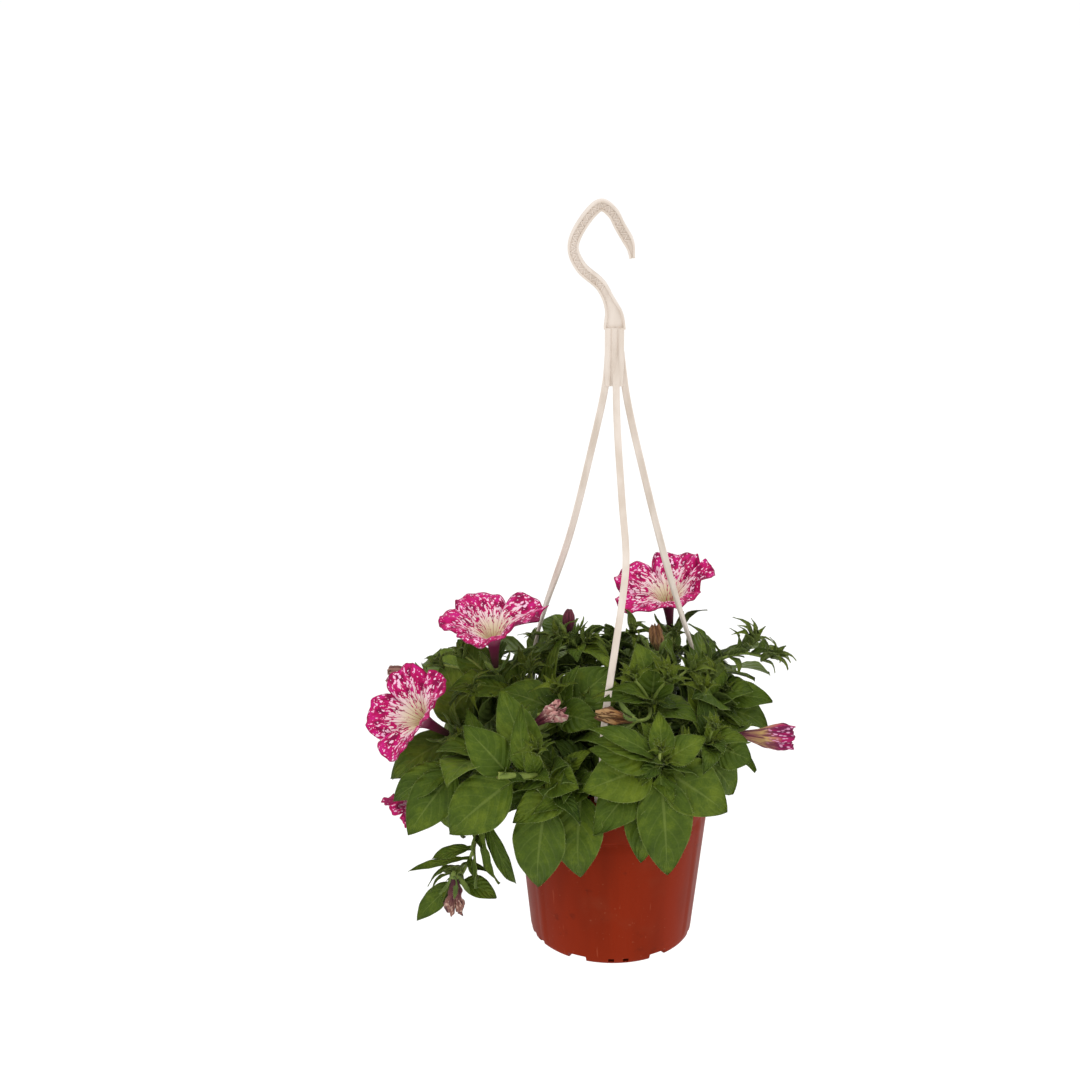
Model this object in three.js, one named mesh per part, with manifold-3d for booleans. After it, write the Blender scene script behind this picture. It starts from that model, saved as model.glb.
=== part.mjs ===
// A petunia in a moulded plastic hanging pot, with a one-piece hanger of a hook and three flat straps.
// The pot is filled with potting soil. Every leafy stem stands in its own hole in the soil, and carries
// its leaves and the green calyxes of its blooms. Each bloom, bud and spent bloom is a piece of its own,
// seated in its calyx. Millimetres, +Z up; the group's origin is where the hook hangs, and the plan below
// counts heights from the pot's feet. Azimuths are in degrees round the pot's axis: 0 points to the
// front (-Y), 90 to the right (+X).
import * as THREE from "three";
import { mergeVertices } from "three/addons/utils/BufferGeometryUtils.js";
import Module from "manifold-3d";

const wasm = await Module();
wasm.setup();

// ---- Driving dimensions ----
const GAP = 0.3; // between pieces that touch
const POT = {
  rimRadius: 70,
  baseRadius: 56,
  height: 136,
  wall: 1.6,
  sides: 40,
  collarHeight: 36, // the thicker band under the rim
  collarStep: 1.2,
  lipWidth: 3.2,
  lipHeight: 2.4,
  floor: 5, // the floor's underside, above the feet
  bottomChamfer: 3,
};
const FEET = { count: 6, width: 3.4, gapDegrees: 14, gapHeight: 4.6, turn: 4 };
const DRAIN = { count: 6, radius: 34, holeRadius: 4.5, sides: 6 };
const SLOT = { width: 4, height: 2.6, spacing: 10 }; // two small slots in the front foot
const LUG = { azimuths: [-7, 113, -127], width: 13, reach: 7.6, height: 3 };
const STRAP = { width: 4.6, thickness: 2.4, headWidth: 9.5, headHeight: 2.2, plateHeight: 13 };
const SOIL = { top: 119, crown: 6, sides: 24 };

const UP = new THREE.Vector3(0, 0, 1);
const RIGHT = new THREE.Vector3(1, 0, 0);

// ---- Materials ----
const plastic = (color) => new THREE.MeshStandardMaterial({ color, roughness: 0.45, metalness: 0 });
const plant = (color) => new THREE.MeshStandardMaterial({ color, roughness: 0.7, metalness: 0 });
const TERRACOTTA = plastic("#8e3a26");
const CREAM = plastic("#e8dcd0");
const PEAT = plant("#2c221a");
const LEAF_GREEN = plant("#44612a");
const PETAL = plant("#c9287a");
const SPENT = plant("#9a6a62");

// ---- Small tools ----
/** A point from azimuth in degrees, distance from the pot's axis and height above the feet. */
function at(azimuth, reach, height) {
  const a = THREE.MathUtils.degToRad(azimuth);
  return new THREE.Vector3(reach * Math.sin(a), -reach * Math.cos(a), height);
}

/** A repeatable stream of numbers from 0 to 1. */
function draws(seed) {
  let state = Math.imul(seed, 40503) >>> 0;
  return () => {
    state = (Math.imul(state, 1664525) + 1013904223) >>> 0;
    return state / 2 ** 32;
  };
}

/** A closed geometry as a manifold-3d solid, turned so that its faces point out. */
function solid(geometry) {
  const bare = new THREE.BufferGeometry().setAttribute("position", geometry.getAttribute("position"));
  if (geometry.index) bare.setIndex(geometry.index);
  const merged = mergeVertices(bare, 1e-4);
  const triVerts = new Uint32Array(merged.index.array);
  const vertProperties = merged.attributes.position.array;
  const made = new wasm.Manifold(new wasm.Mesh({ numProp: 3, vertProperties, triVerts }));
  if (made.volume() > 0) return made;
  for (let i = 0; i < triVerts.length; i += 3)
    [triVerts[i + 1], triVerts[i + 2]] = [triVerts[i + 2], triVerts[i + 1]];
  return new wasm.Manifold(new wasm.Mesh({ numProp: 3, vertProperties, triVerts }));
}

/** A solid as a geometry, without any loose scrap that a cut left. */
function geometryOf(made) {
  const bodies = made.decompose().sort((a, b) => b.volume() - a.volume());
  const mesh = bodies[0].getMesh();
  const position = new Float32Array(mesh.numVert * 3);
  for (let i = 0; i < mesh.numVert; i++)
    position.set(mesh.vertProperties.subarray(i * mesh.numProp, i * mesh.numProp + 3), i * 3);
  const geometry = new THREE.BufferGeometry();
  geometry.setAttribute("position", new THREE.BufferAttribute(position, 3));
  geometry.setIndex(new THREE.BufferAttribute(mesh.triVerts, 1));
  return geometry;
}

/** A closed skin over rings of equal count. flip names the quads that split along their other diagonal. */
function skin(rings, flip = () => false) {
  const n = rings[0].length;
  const index = [];
  for (let k = 0; k + 1 < rings.length; k++)
    for (let i = 0; i < n; i++) {
      const [a, b] = [k * n + i, k * n + ((i + 1) % n)];
      const [c, d] = [a + n, b + n];
      if (flip(k, i)) index.push(a, b, c, b, d, c);
      else index.push(a, b, d, a, d, c);
    }
  const last = (rings.length - 1) * n;
  for (let i = 1; i + 1 < n; i++) index.push(0, i + 1, i, last, last + i, last + i + 1);
  const geometry = new THREE.BufferGeometry().setFromPoints(rings.flat());
  return geometry.setIndex(index);
}

/** A box of that size with its centre at a point, turned round Z by an azimuth. */
function block(width, depth, height, centre, azimuth = 0) {
  const geometry = new THREE.BoxGeometry(width, depth, height);
  geometry.rotateZ(THREE.MathUtils.degToRad(azimuth)).translate(centre.x, centre.y, centre.z);
  return solid(geometry);
}

/** A solid of revolution from [radius, height] points. */
function turned(profile, sides) {
  const outline = profile.map(([r, z]) => new THREE.Vector2(r, z));
  return solid(new THREE.LatheGeometry(outline, sides).rotateX(Math.PI / 2));
}

function mesh(name, made, material) {
  const piece = new THREE.Mesh(geometryOf(made), material);
  piece.name = name;
  return piece;
}

// ---- Pot ----
const wallRadius = (height) =>
  THREE.MathUtils.lerp(POT.baseRadius, POT.rimRadius, height / POT.height);

/** The pot's outer profile from the bottom chamfer to the lip. */
function potOutline() {
  const collar = POT.height - POT.collarHeight;
  const lip = POT.height - POT.lipHeight;
  return [
    [POT.baseRadius - POT.bottomChamfer, 0],
    [wallRadius(POT.bottomChamfer), POT.bottomChamfer],
    [wallRadius(collar) - POT.collarStep, collar - POT.collarStep],
    [wallRadius(collar), collar],
    [wallRadius(lip), lip],
    [POT.rimRadius + POT.lipWidth, lip],
    [POT.rimRadius + POT.lipWidth, POT.height],
  ];
}

function pot() {
  const outer = potOutline();
  const inside = POT.floor + POT.wall;
  const inner = [
    [wallRadius(POT.height) - POT.wall, POT.height],
    [wallRadius(inside) - POT.wall - 2, inside],
    [0, inside],
  ];
  const under = [
    [0, POT.floor],
    [POT.baseRadius - POT.bottomChamfer - FEET.width - 3, POT.floor],
    [POT.baseRadius - POT.bottomChamfer - FEET.width, 0],
  ];
  let made = turned([...under, ...outer, ...inner], POT.sides);
  const pitch = 360 / FEET.count;
  for (let i = 0; i < FEET.count; i++) {
    const azimuth = FEET.turn + pitch * (i + 0.5);
    const width = 2 * POT.baseRadius * Math.sin(THREE.MathUtils.degToRad(FEET.gapDegrees / 2));
    const cut = block(width, 16, FEET.gapHeight * 2, at(azimuth, POT.baseRadius - 4, 0), azimuth);
    made = made.subtract(cut);
  }
  for (let i = 0; i < DRAIN.count; i++) {
    const centre = at(FEET.turn + pitch * i, DRAIN.radius, POT.floor);
    const hole = new THREE.CylinderGeometry(DRAIN.holeRadius, DRAIN.holeRadius, 12, DRAIN.sides);
    made = made.subtract(solid(hole.rotateX(Math.PI / 2).translate(centre.x, centre.y, centre.z)));
  }
  const slotAngle = THREE.MathUtils.radToDeg(SLOT.spacing / POT.baseRadius / 2);
  for (const side of [-1, 1]) {
    const azimuth = FEET.turn + side * slotAngle;
    made = made.subtract(block(SLOT.width, 12, SLOT.height, at(azimuth, POT.baseRadius, 3.4), azimuth));
  }
  for (const azimuth of LUG.azimuths) {
    const middle = POT.rimRadius + POT.lipWidth + LUG.reach / 2 - 1;
    const top = POT.height - LUG.height / 2;
    const lug = block(LUG.width, LUG.reach + 2, LUG.height, at(azimuth, middle, top), azimuth);
    const slot = block(
      STRAP.width + 2 * GAP,
      STRAP.thickness + 2 * GAP,
      20,
      at(azimuth, lugSlotReach(), POT.height),
      azimuth,
    );
    made = made.add(lug).subtract(slot);
  }
  return made;
}

/** How far from the axis a strap passes down through its lug. */
function lugSlotReach() {
  return POT.rimRadius + POT.lipWidth + 2.6;
}

// ---- Soil ----
function soil() {
  const low = POT.floor + POT.wall + GAP;
  const inset = POT.wall + 2 * GAP;
  return turned(
    [
      [0, low],
      [wallRadius(low) - inset - 2, low],
      [wallRadius(SOIL.top) - inset, SOIL.top],
      [wallRadius(SOIL.top) * 0.55, SOIL.top + SOIL.crown * 0.7],
      [0, SOIL.top + SOIL.crown],
    ],
    SOIL.sides,
  );
}

// ---- Hanger ----
/** The hook's centreline in its own plane: x to the right, height above the feet. */
const HOOK_LINE = [
  [-3.7, 440],
  [-3.8, 451],
  [-10.5, 468],
  [-24, 481],
  [-29, 494],
  [-23, 509.5],
  [-11.4, 521.5],
  [-4, 516.5],
  [0.5, 508],
  [7.2, 495.5],
  [8.7, 487],
];
const HOOK = { width: 7, thickness: 6, flange: 1.6, web: 2.4, steps: 20, tip: 3.8 };
const HOOK_SADDLE = [-11.4, 518]; // under the bow, where the hook rests: the part's origin
const COLLAR = { x: -2, width: 14, depth: 9, low: 437, high: 445 };
const WEB = { width: 12.5, depth: 7, low: 404 };

/** The three straps: the lug that each one ends at, and its line down from the web, [x, y, height]. */
const STRAPS = [
  {
    azimuth: LUG.azimuths[0],
    path: [
      [-1, -1, 424],
      [0, -6, 380],
      [3.3, -25, 331],
      [5.9, -42, 296],
      [3.5, -52, 272],
      [-1.2, -62, 241],
      [-7.8, -72, 192],
    ],
  },
  {
    azimuth: LUG.azimuths[1],
    path: [[2.2, 0.5, 424], [6.7, 3, 391], [19.5, 9, 333], [33.4, 16, 276], [45.3, 21, 233], [56, 25, 198]],
  },
  {
    azimuth: LUG.azimuths[2],
    path: [[-5.8, 0.5, 424], [-7.4, 1, 402], [-17, 8, 350], [-30, 18, 289], [-46.6, 31, 230], [-52, 37, 206]],
  },
];

/** The line of a strap, from inside the web to the plate on its lug. */
function strapLine({ azimuth, path }) {
  const foot = at(azimuth, lugSlotReach(), POT.height + STRAP.plateHeight - 1);
  const above = path.map((point) => new THREE.Vector3(...point));
  return new THREE.CatmullRomCurve3([...above, foot], false, "centripetal");
}

/** A flat strap that turns from lying in the hook's plane to facing out at its lug. */
function strap(course) {
  const line = strapLine(course);
  const steps = 12;
  const rings = [];
  for (let k = 0; k <= steps; k++) {
    const s = k / steps;
    const turn = THREE.MathUtils.degToRad(course.azimuth) * THREE.MathUtils.smoothstep(s, 0.35, 1);
    const wide = new THREE.Vector3(Math.cos(turn), Math.sin(turn), 0);
    const along = line.getTangentAt(s);
    const thin = new THREE.Vector3().crossVectors(along, wide).normalize();
    wide.crossVectors(thin, along).normalize();
    const centre = line.getPointAt(s);
    const half = STRAP.width / 2;
    rings.push(
      [
        [-half, -0.5],
        [half, -0.5],
        [half, 0.5],
        [-half, 0.5],
      ].map(([w, t]) => centre.clone().addScaledVector(wide, w).addScaledVector(thin, t * STRAP.thickness)),
    );
  }
  return solid(skin(rings));
}

/** The plate on the lug, the shank through its slot and the head under it. */
function strapEnd(azimuth) {
  const reach = lugSlotReach();
  const low = POT.height - LUG.height;
  const [plateBase, plateTop] = [POT.height + GAP, POT.height + GAP + STRAP.plateHeight];
  const headTop = low - GAP;
  const middle = (a, b) => at(azimuth, reach, (a + b) / 2);
  const plate = block(
    STRAP.headWidth,
    STRAP.thickness,
    plateTop - plateBase,
    middle(plateBase, plateTop),
    azimuth,
  );
  const shank = block(STRAP.width, STRAP.thickness, plateTop - headTop, middle(headTop, plateTop), azimuth);
  const head = block(
    STRAP.headWidth,
    STRAP.thickness,
    STRAP.headHeight,
    middle(headTop - STRAP.headHeight, headTop),
    azimuth,
  );
  return plate.add(shank).add(head);
}

/** The hook's bow: a T-shaped bar swept along its line, narrowing to the tip. */
function hookBow() {
  const line = new THREE.CatmullRomCurve3(HOOK_LINE.map(([x, z]) => new THREE.Vector3(x, 0, z)));
  const rings = [];
  for (let k = 0; k <= HOOK.steps; k++) {
    const s = k / HOOK.steps;
    const along = line.getTangentAt(s);
    const side = new THREE.Vector3(along.z, 0, -along.x);
    const half = THREE.MathUtils.lerp(HOOK.width, HOOK.tip, THREE.MathUtils.smoothstep(s, 0.9, 1)) / 2;
    const centre = line.getPointAt(s);
    const section = [
      [-half, -HOOK.thickness / 2],
      [-half + HOOK.flange, -HOOK.thickness / 2],
      [-half + HOOK.flange, -HOOK.web / 2],
      [half, -HOOK.web / 2],
      [half, HOOK.web / 2],
      [-half + HOOK.flange, HOOK.web / 2],
      [-half + HOOK.flange, HOOK.thickness / 2],
      [-half, HOOK.thickness / 2],
    ];
    const corner = ([wide, y]) => centre.clone().addScaledVector(side, -wide).setY(y);
    rings.push(section.map(corner));
  }
  return solid(skin(rings));
}

// ---- Plant ----
const STEM = { sides: 5, pitch: 19, root: 106, straight: 20, holeClearance: 1.5 };
const BLADE = { thickness: 1.4, narrowThickness: 1.2, stalk: 1.8, stalkShare: 0.1 };
const CALYX = { stalk: 1.2, radius: 2.6, lobes: 5, length: 14, spread: 36 };
const TRUMPET = { sides: 20, thickness: 0.9, tubeRadius: 1.9, throatRadius: 9 };
const GOLDEN_ANGLE = 137.5;
// The shares of its length where a blade has a cross-section: a large one, and a small one.
const LARGE_CUTS = [0, 0.16, 0.42, 0.78, 1];
const SMALL_CUTS = [0, 0.22, 0.66, 1];

/**
 * The leafy stems. path: from the soil's hole to the tip, [x, y, height]. leaves: [share along the stem,
 * the tip's x, y, height, the width, the roll]. fill: leaves placed by rule between two shares of the stem,
 * with their mean length and rise in degrees. cut: a pruned end instead of a growing tip.
 */
const STEMS = [
  {
    name: "stem_front_right",
    radius: 2,
    path: [[12, -26], [16, -44, 142], [23, -66, 158], [28, -80, 167], [30, -86, 172]],
    leaves: [
      [0.92, 34, -91, 90, 37, 15],
      [0.78, 16, -92, 99, 30, 10],
      [0.84, 74, -80, 131, 38, 30],
      [0.88, -22, -97, 156, 38, -20],
      [0.72, -14, -99, 126, 34, -10],
      [1, 27, -78, 204, 17, -15],
      [0.94, -18, -94, 185, 24, -25],
      [0.97, 58, -80, 187, 20, 15],
    ],
    fill: { count: 5, from: 0.8, to: 1, length: 18, rise: 50, seed: 57, narrow: true },
  },
  {
    name: "stem_front_left",
    radius: 2.2,
    path: [[-10, -28], [-20, -46, 142], [-38, -70, 154], [-56, -80, 158], [-76, -80, 158]],
    leaves: [
      [0.95, -100, -80, 195, 28, 0],
      [0.86, -63, -79, 207, 15, 20],
      [0.8, -56, -88, 188, 12, 40],
      [0.74, -25, -94, 157, 26, 20],
      [0.66, -33, -86, 170, 12, 30],
      [0.9, -111, -87, 119, 38, -35],
      [0.8, -76, -54, 209, 28, 10],
    ],
    fill: { count: 3, from: 0.45, to: 0.7, length: 20, rise: 40, seed: 62, narrow: true },
  },
  {
    name: "stem_low_front",
    radius: 1.8,
    path: [[-2, -40], [-12, -58, 142], [-28, -76, 148], [-46, -80, 146]],
    leaves: [
      [0.98, -52, -86, 78, 37, -15],
      [0.7, -25, -91, 87, 36, 0],
      [0.55, -54, -98, 141, 18, -25],
      [0.8, -68, -92, 130, 26, -20],
    ],
    fill: { count: 0, from: 0.5, to: 0.9, length: 40, rise: 0, seed: 1 },
  },
  {
    name: "stem_left_front",
    radius: 2,
    path: [[-28, -22], [-43, -34, 144], [-72, -48, 154], [-94, -56, 156], [-106, -58, 154]],
    leaves: [
      [0.97, -138, -76, 112, 32, -40],
      [0.99, -150, -60, 130, 22, -35],
      [0.9, -119, -62, 158, 16, -30],
    ],
    fill: { count: 4, from: 0.4, to: 0.9, length: 50, rise: 14, seed: 4230 },
  },
  {
    name: "stem_trailing",
    radius: 1.6,
    path: [[-30, -38], [-50, -54, 146], [-72, -64, 142], [-88, -58, 120], [-96, -50, 84], [-106, -42, 58]],
    leaves: [
      [0.99, -135, -46, 29, 16, -40],
      [0.99, -79, -44, 46, 15, 20],
      [0.8, -124, -50, 80, 9, -30],
      [0.86, -140, -50, 70, 6, -30],
      [0.62, -66, -60, 62, 11, -20],
    ],
    fill: { count: 4, from: 0.7, to: 1, length: 18, rise: -20, seed: 27, narrow: true },
  },
  {
    name: "stem_left",
    radius: 2,
    path: [[-38, -6], [-58, -10, 146], [-84, -14, 158], [-104, -18, 158]],
    leaves: [
      [0.98, -153, -14, 122, 28, -40],
      [0.99, -151, -34, 134, 26, -40],
    ],
    fill: { count: 4, from: 0.4, to: 0.96, length: 46, rise: 16, seed: 1 },
  },
  {
    name: "stem_left_back",
    radius: 2,
    path: [[-34, 14], [-54, 26, 146], [-80, 36, 164], [-98, 40, 172]],
    leaves: [],
    fill: { count: 7, from: 0.35, to: 1, length: 52, rise: 12, seed: 3790 },
  },
  {
    name: "stem_top_left",
    radius: 1.8,
    path: [[-22, -6], [-38, -8, 152], [-62, -8, 180], [-84, -4, 192]],
    leaves: [
      [1, -106, 14, 214, 24, 0],
      [0.66, -98, 8, 204, 26, -15],
      [0.84, -111, -26, 196, 26, -35],
      [0.56, -36, 8, 217, 16, 30],
    ],
    fill: { count: 2, from: 0.5, to: 0.95, length: 42, rise: 24, seed: 28 },
  },
  {
    name: "stem_centre_left",
    radius: 1.8,
    path: [[-8, -12], [-16, -20, 150], [-30, -30, 176], [-40, -38, 184]],
    leaves: [
      [0.92, -1, -22, 209, 34, 25],
      [0.98, -10, -54, 183, 24, 15],
    ],
    fill: { count: 6, from: 0.5, to: 0.98, length: 44, rise: 30, seed: 2072 },
  },
  {
    name: "stem_centre_back",
    radius: 1.8,
    path: [[-4, 12], [-10, 18, 152], [-20, 20, 190], [-28, 20, 212]],
    leaves: [],
    fill: { count: 6, from: 0.4, to: 1, length: 42, rise: 30, seed: 963 },
  },
  {
    name: "stem_top_right",
    radius: 1.8,
    path: [[14, 10], [24, 28, 152], [34, 50, 172], [40, 62, 182]],
    leaves: [],
    fill: { count: 6, from: 0.4, to: 0.96, length: 44, rise: 26, seed: 1181 },
  },
  {
    name: "stem_centre_right",
    radius: 1.8,
    path: [[10, -8], [16, -16, 152], [22, -34, 184], [24, -46, 196]],
    leaves: [
      [0.96, 26, -42, 224, 27, -20],
    ],
    fill: { count: 4, from: 0.45, to: 1, length: 40, rise: 36, seed: 40 },
  },
  {
    name: "stem_right_front",
    radius: 2,
    path: [[28, -20], [42, -34, 146], [56, -46, 162], [66, -54, 168]],
    leaves: [
      [0.96, 91, -54, 156, 26, 35],
      [0.8, 82, -44, 125, 28, 35],
      [0.9, 102, -37, 171, 30, 25],
    ],
    fill: { count: 4, from: 0.5, to: 0.98, length: 42, rise: 20, seed: 20 },
  },
  {
    name: "stem_right",
    radius: 2,
    path: [[36, -2], [50, -6, 150], [66, -8, 176], [74, -8, 184]],
    leaves: [
      [0.9, 93, -20, 192, 30, 35],
      [0.96, 108, -10, 180, 20, 40],
      [0.6, 98, -20, 132, 18, 30],
    ],
    fill: { count: 5, from: 0.5, to: 0.95, length: 44, rise: 14, seed: 1981 },
  },
  {
    name: "stem_right_shoot",
    radius: 1.5,
    path: [[28, 16], [42, 14, 156], [62, 8, 194], [86, 4, 208], [104, 2, 206]],
    leaves: [
      [0.5, 84, 10, 212, 17, 20],
      [0.45, 24, 14, 228, 12, -20],
    ],
    fill: { count: 12, from: 0.6, to: 1, length: 22, rise: 24, seed: 9, narrow: true },
  },
  {
    name: "stem_right_back",
    radius: 2,
    path: [[24, 32], [40, 46, 146], [62, 58, 164], [74, 64, 172]],
    leaves: [],
    fill: { count: 8, from: 0.35, to: 1, length: 52, rise: 6, seed: 489 },
  },
  {
    name: "stem_back_right",
    radius: 2,
    path: [[6, 40], [8, 58, 144], [14, 78, 156], [18, 90, 160]],
    leaves: [],
    fill: { count: 6, from: 0.35, to: 1, length: 46, rise: 6, seed: 3109 },
  },
  {
    name: "stem_back_left",
    radius: 2,
    path: [[-16, 34], [-30, 56, 146], [-46, 76, 160], [-54, 84, 164]],
    leaves: [],
    fill: { count: 8, from: 0.35, to: 1, length: 50, rise: 6, seed: 1513 },
  },
  {
    name: "stem_back_top",
    radius: 1.8,
    path: [[8, 24], [6, 36, 156], [2, 48, 186], [0, 52, 196]],
    leaves: [],
    fill: { count: 6, from: 0.4, to: 1, length: 40, rise: 30, seed: 685 },
  },
];

/**
 * What the stems carry. base and axis: where the calyx holds it, and the way that it points. A bloom has
 * five lobes, each lifted by its own amount; the rest are closed, with radii along their length.
 */
const BLOOMS = [
  {
    name: "bloom_top_left",
    stem: "stem_top_left",
    share: 0.9,
    base: [-80, -8, 203],
    axis: [-0.06, -0.15, 1],
    tube: 28,
    radius: 34,
    turn: 20,
    lifts: [4, -2, -1, 3, 9],
  },
  {
    name: "bloom_top_right",
    stem: "stem_top_right",
    share: 0.96,
    base: [42, 74, 195],
    axis: [-0.1, -0.18, 1],
    tube: 28,
    radius: 34,
    turn: 54,
    lifts: [6, 4, -3, 0, 5],
  },
  {
    name: "bloom_left",
    stem: "stem_left",
    share: 0.95,
    base: [-112, -26, 162],
    axis: [-0.66, -0.42, 0.62],
    tube: 30,
    radius: 31,
    turn: 30,
    lifts: [6, 0, -2, 2, 7],
  },
  {
    name: "bloom_low_left",
    stem: "stem_left_front",
    share: 0.93,
    base: [-119, -32, 124],
    axis: [-0.8, -0.42, -0.42],
    tube: 16,
    radius: 21,
    turn: 0,
    lifts: [4, 2, 5, 3, 6],
  },
  {
    name: "bloom_folded",
    stem: "stem_right_front",
    share: 0.9,
    base: [80, -30, 164],
    axis: [1, -0.04, -0.06],
    length: 40,
    radii: [2, 3.4, 5, 7.4, 9.2, 8.6],
    crumple: 0.2,
  },
  {
    name: "spent_bloom_front_left",
    stem: "stem_front_left",
    share: 0.7,
    base: [-58, -60, 182],
    axis: [0.7, -0.15, 0.62],
    length: 27,
    radii: [1.8, 2.2, 2.8, 4.6, 6.6, 4.6],
    crumple: 0.35,
  },
  {
    name: "spent_bloom_front",
    stem: "stem_centre_right",
    share: 0.9,
    base: [10, -72, 195],
    axis: [-0.93, -0.3, 0.3],
    length: 24,
    radii: [1.8, 3, 3.8, 3.6, 2.4, 1.4],
    crumple: 0.3,
  },
  {
    name: "spent_bloom_top",
    stem: "stem_centre_right",
    share: 0.75,
    base: [30, 0, 212],
    axis: [-0.12, 0, 1],
    length: 18,
    radii: [1.8, 3, 4, 3.8, 3.2, 2],
    crumple: 0.3,
  },
  {
    name: "spent_bloom_left",
    stem: "stem_left_back",
    share: 0.9,
    base: [-126, 12, 184],
    axis: [-1, -0.1, 0.2],
    length: 28,
    radii: [1.8, 2.4, 3.2, 5, 5.6, 4.4],
    crumple: 0.35,
  },
  {
    name: "spent_bloom_trailing",
    stem: "stem_trailing",
    share: 0.95,
    base: [-108, -54, 68],
    axis: [0.0, -0.1, -1],
    length: 25,
    radii: [1.8, 3.6, 4.4, 4, 6, 4],
    crumple: 0.35,
  },
  {
    name: "bud_top",
    stem: "stem_centre_back",
    share: 0.95,
    base: [-31, 20, 216],
    axis: [0.05, 0, 1],
    length: 17,
    radii: [1.8, 3.2, 4, 4.2, 3.8, 2.2],
    crumple: 0.06,
  },
];

/** The curve of a stem: straight up out of the soil, then along its path to the tip. */
function stemCurve({ path }) {
  const [[x, y], ...rest] = path;
  const foot = [0, 0.35, 0.7, 1].map((s) => new THREE.Vector3(x, y, STEM.root + s * STEM.straight));
  const above = rest.map((point) => new THREE.Vector3(...point));
  return new THREE.CatmullRomCurve3([...foot, ...above], false, "centripetal");
}

/** A round rod along a curve. */
function rod(curve, radius, steps) {
  const corners = Array.from({ length: STEM.sides }, (_, i) => {
    const a = (2 * Math.PI * i) / STEM.sides;
    return new THREE.Vector2(radius * Math.cos(a), radius * Math.sin(a));
  });
  const section = new THREE.Shape(corners);
  return solid(new THREE.ExtrudeGeometry(section, { steps, extrudePath: curve, bevelEnabled: false }));
}

/** The share of a blade's full width at a share s of its length: an egg-shaped outline with a point. */
function outline(s) {
  const t = Math.max(0, (s - BLADE.stalkShare) / (1 - BLADE.stalkShare));
  return Math.sin(Math.PI * t ** 0.72) ** 0.85;
}

/** The direction at right angles to an axis that faces most nearly up and outward at a place. */
function faceOf(axis, place) {
  const hint = new THREE.Vector3(place.x, place.y, 0).normalize().multiplyScalar(0.7).add(UP);
  return hint.addScaledVector(axis, -hint.dot(axis)).normalize();
}

/** A leaf's blade with its stalk: folded along the midrib, arched along it and waved at the edges. */
function blade({ base, tip, width, roll = 0, arch = 0.1, fold = 0.22, wave = 0.03, cuts = LARGE_CUTS }) {
  const axis = tip.clone().sub(base);
  const length = axis.length();
  axis.normalize();
  const normal = faceOf(axis, tip.clone().lerp(base, 0.5));
  normal.applyAxisAngle(axis, THREE.MathUtils.degToRad(roll));
  const side = new THREE.Vector3().crossVectors(axis, normal);
  const rings = cuts.map((s) => {
    const half = Math.max((width / 2) * outline(s), s < 0.5 ? BLADE.stalk / 2 : 0.5);
    const lift = length * arch * 4 * s * (1 - s);
    const thick = s < 0.05 ? BLADE.stalk : BLADE.thickness;
    const middle = base.clone().addScaledVector(axis, s * length).addScaledVector(normal, lift);
    const point = (across, up) =>
      middle.clone().addScaledVector(side, across).addScaledVector(normal, up);
    const edge = (sign) => half * fold + length * wave * Math.sin(9 * s + sign);
    return [point(-half, edge(-1)), point(0, thick / 2), point(half, edge(1)), point(0, -thick / 2)];
  });
  return solid(skin(rings, (k, i) => i % 2 === 1));
}

/** A narrow three-sided leaf, as at the growing tips. */
function lobe({ base, tip, width }) {
  const axis = tip.clone().sub(base).normalize();
  const up = faceOf(axis, tip);
  const side = new THREE.Vector3().crossVectors(axis, up);
  const bend = base.distanceTo(tip) * 0.12;
  const shares = [
    [0, 0.4],
    [0.6, 1],
    [1, 0.25],
  ];
  const rings = shares.map(([s, w]) => {
    const middle = base.clone().lerp(tip, s).addScaledVector(up, bend * 4 * s * (1 - s));
    return [
      middle.clone().addScaledVector(side, (-width / 2) * w),
      middle.clone().addScaledVector(side, (width / 2) * w),
      middle.clone().addScaledVector(up, BLADE.narrowThickness),
    ];
  });
  return solid(skin(rings));
}

/** The angles of n points evenly round a circle. */
const circle = (n) => Array.from({ length: n }, (_, i) => (2 * Math.PI * i) / n);

/** A point round an axis from an origin: at an angle, a reach from the axis and a height along it. */
function polar(origin, axis, angle, reach, height) {
  const u = new THREE.Vector3().crossVectors(axis, Math.abs(axis.z) > 0.9 ? RIGHT : UP).normalize();
  const v = new THREE.Vector3().crossVectors(axis, u);
  return origin
    .clone()
    .addScaledVector(u, reach * Math.cos(angle))
    .addScaledVector(v, reach * Math.sin(angle))
    .addScaledVector(axis, height);
}

/** The stalk of a bloom with the green cup that holds it, cut into five narrow lobes. */
function calyx({ share, base, axis }, curve) {
  const end = new THREE.Vector3(...base);
  const way = new THREE.Vector3(...axis).normalize();
  const start = curve.getPointAt(share);
  const seat = end.clone().addScaledVector(way, -GAP);
  const bend = end.clone().addScaledVector(way, -0.45 * start.distanceTo(end));
  const stalk = rod(new THREE.QuadraticBezierCurve3(start, bend, seat), CALYX.stalk, 3);
  const spread = THREE.MathUtils.degToRad(CALYX.spread);
  const tip = [CALYX.radius + CALYX.length * Math.sin(spread), CALYX.length * Math.cos(spread)];
  // Each ring: [reach, height] at the middles of the lobes, and at the notches between them.
  const rings = [
    [[CALYX.stalk, -4], [CALYX.stalk, -4]],
    [[CALYX.radius, -1.5], [CALYX.radius, -1.5]],
    [tip, [CALYX.radius, 0]],
    [[tip[0] - 0.3, tip[1] + 0.9], [CALYX.radius - 0.4, -GAP]],
    [[CALYX.radius - 0.5, -GAP], [CALYX.radius - 0.5, -GAP]],
  ];
  const ringPoints = (pair) =>
    circle(2 * CALYX.lobes).map((a, i) => polar(end, way, a, ...pair[i % 2]));
  return stalk.add(solid(skin(rings.map(ringPoints))));
}

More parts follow.
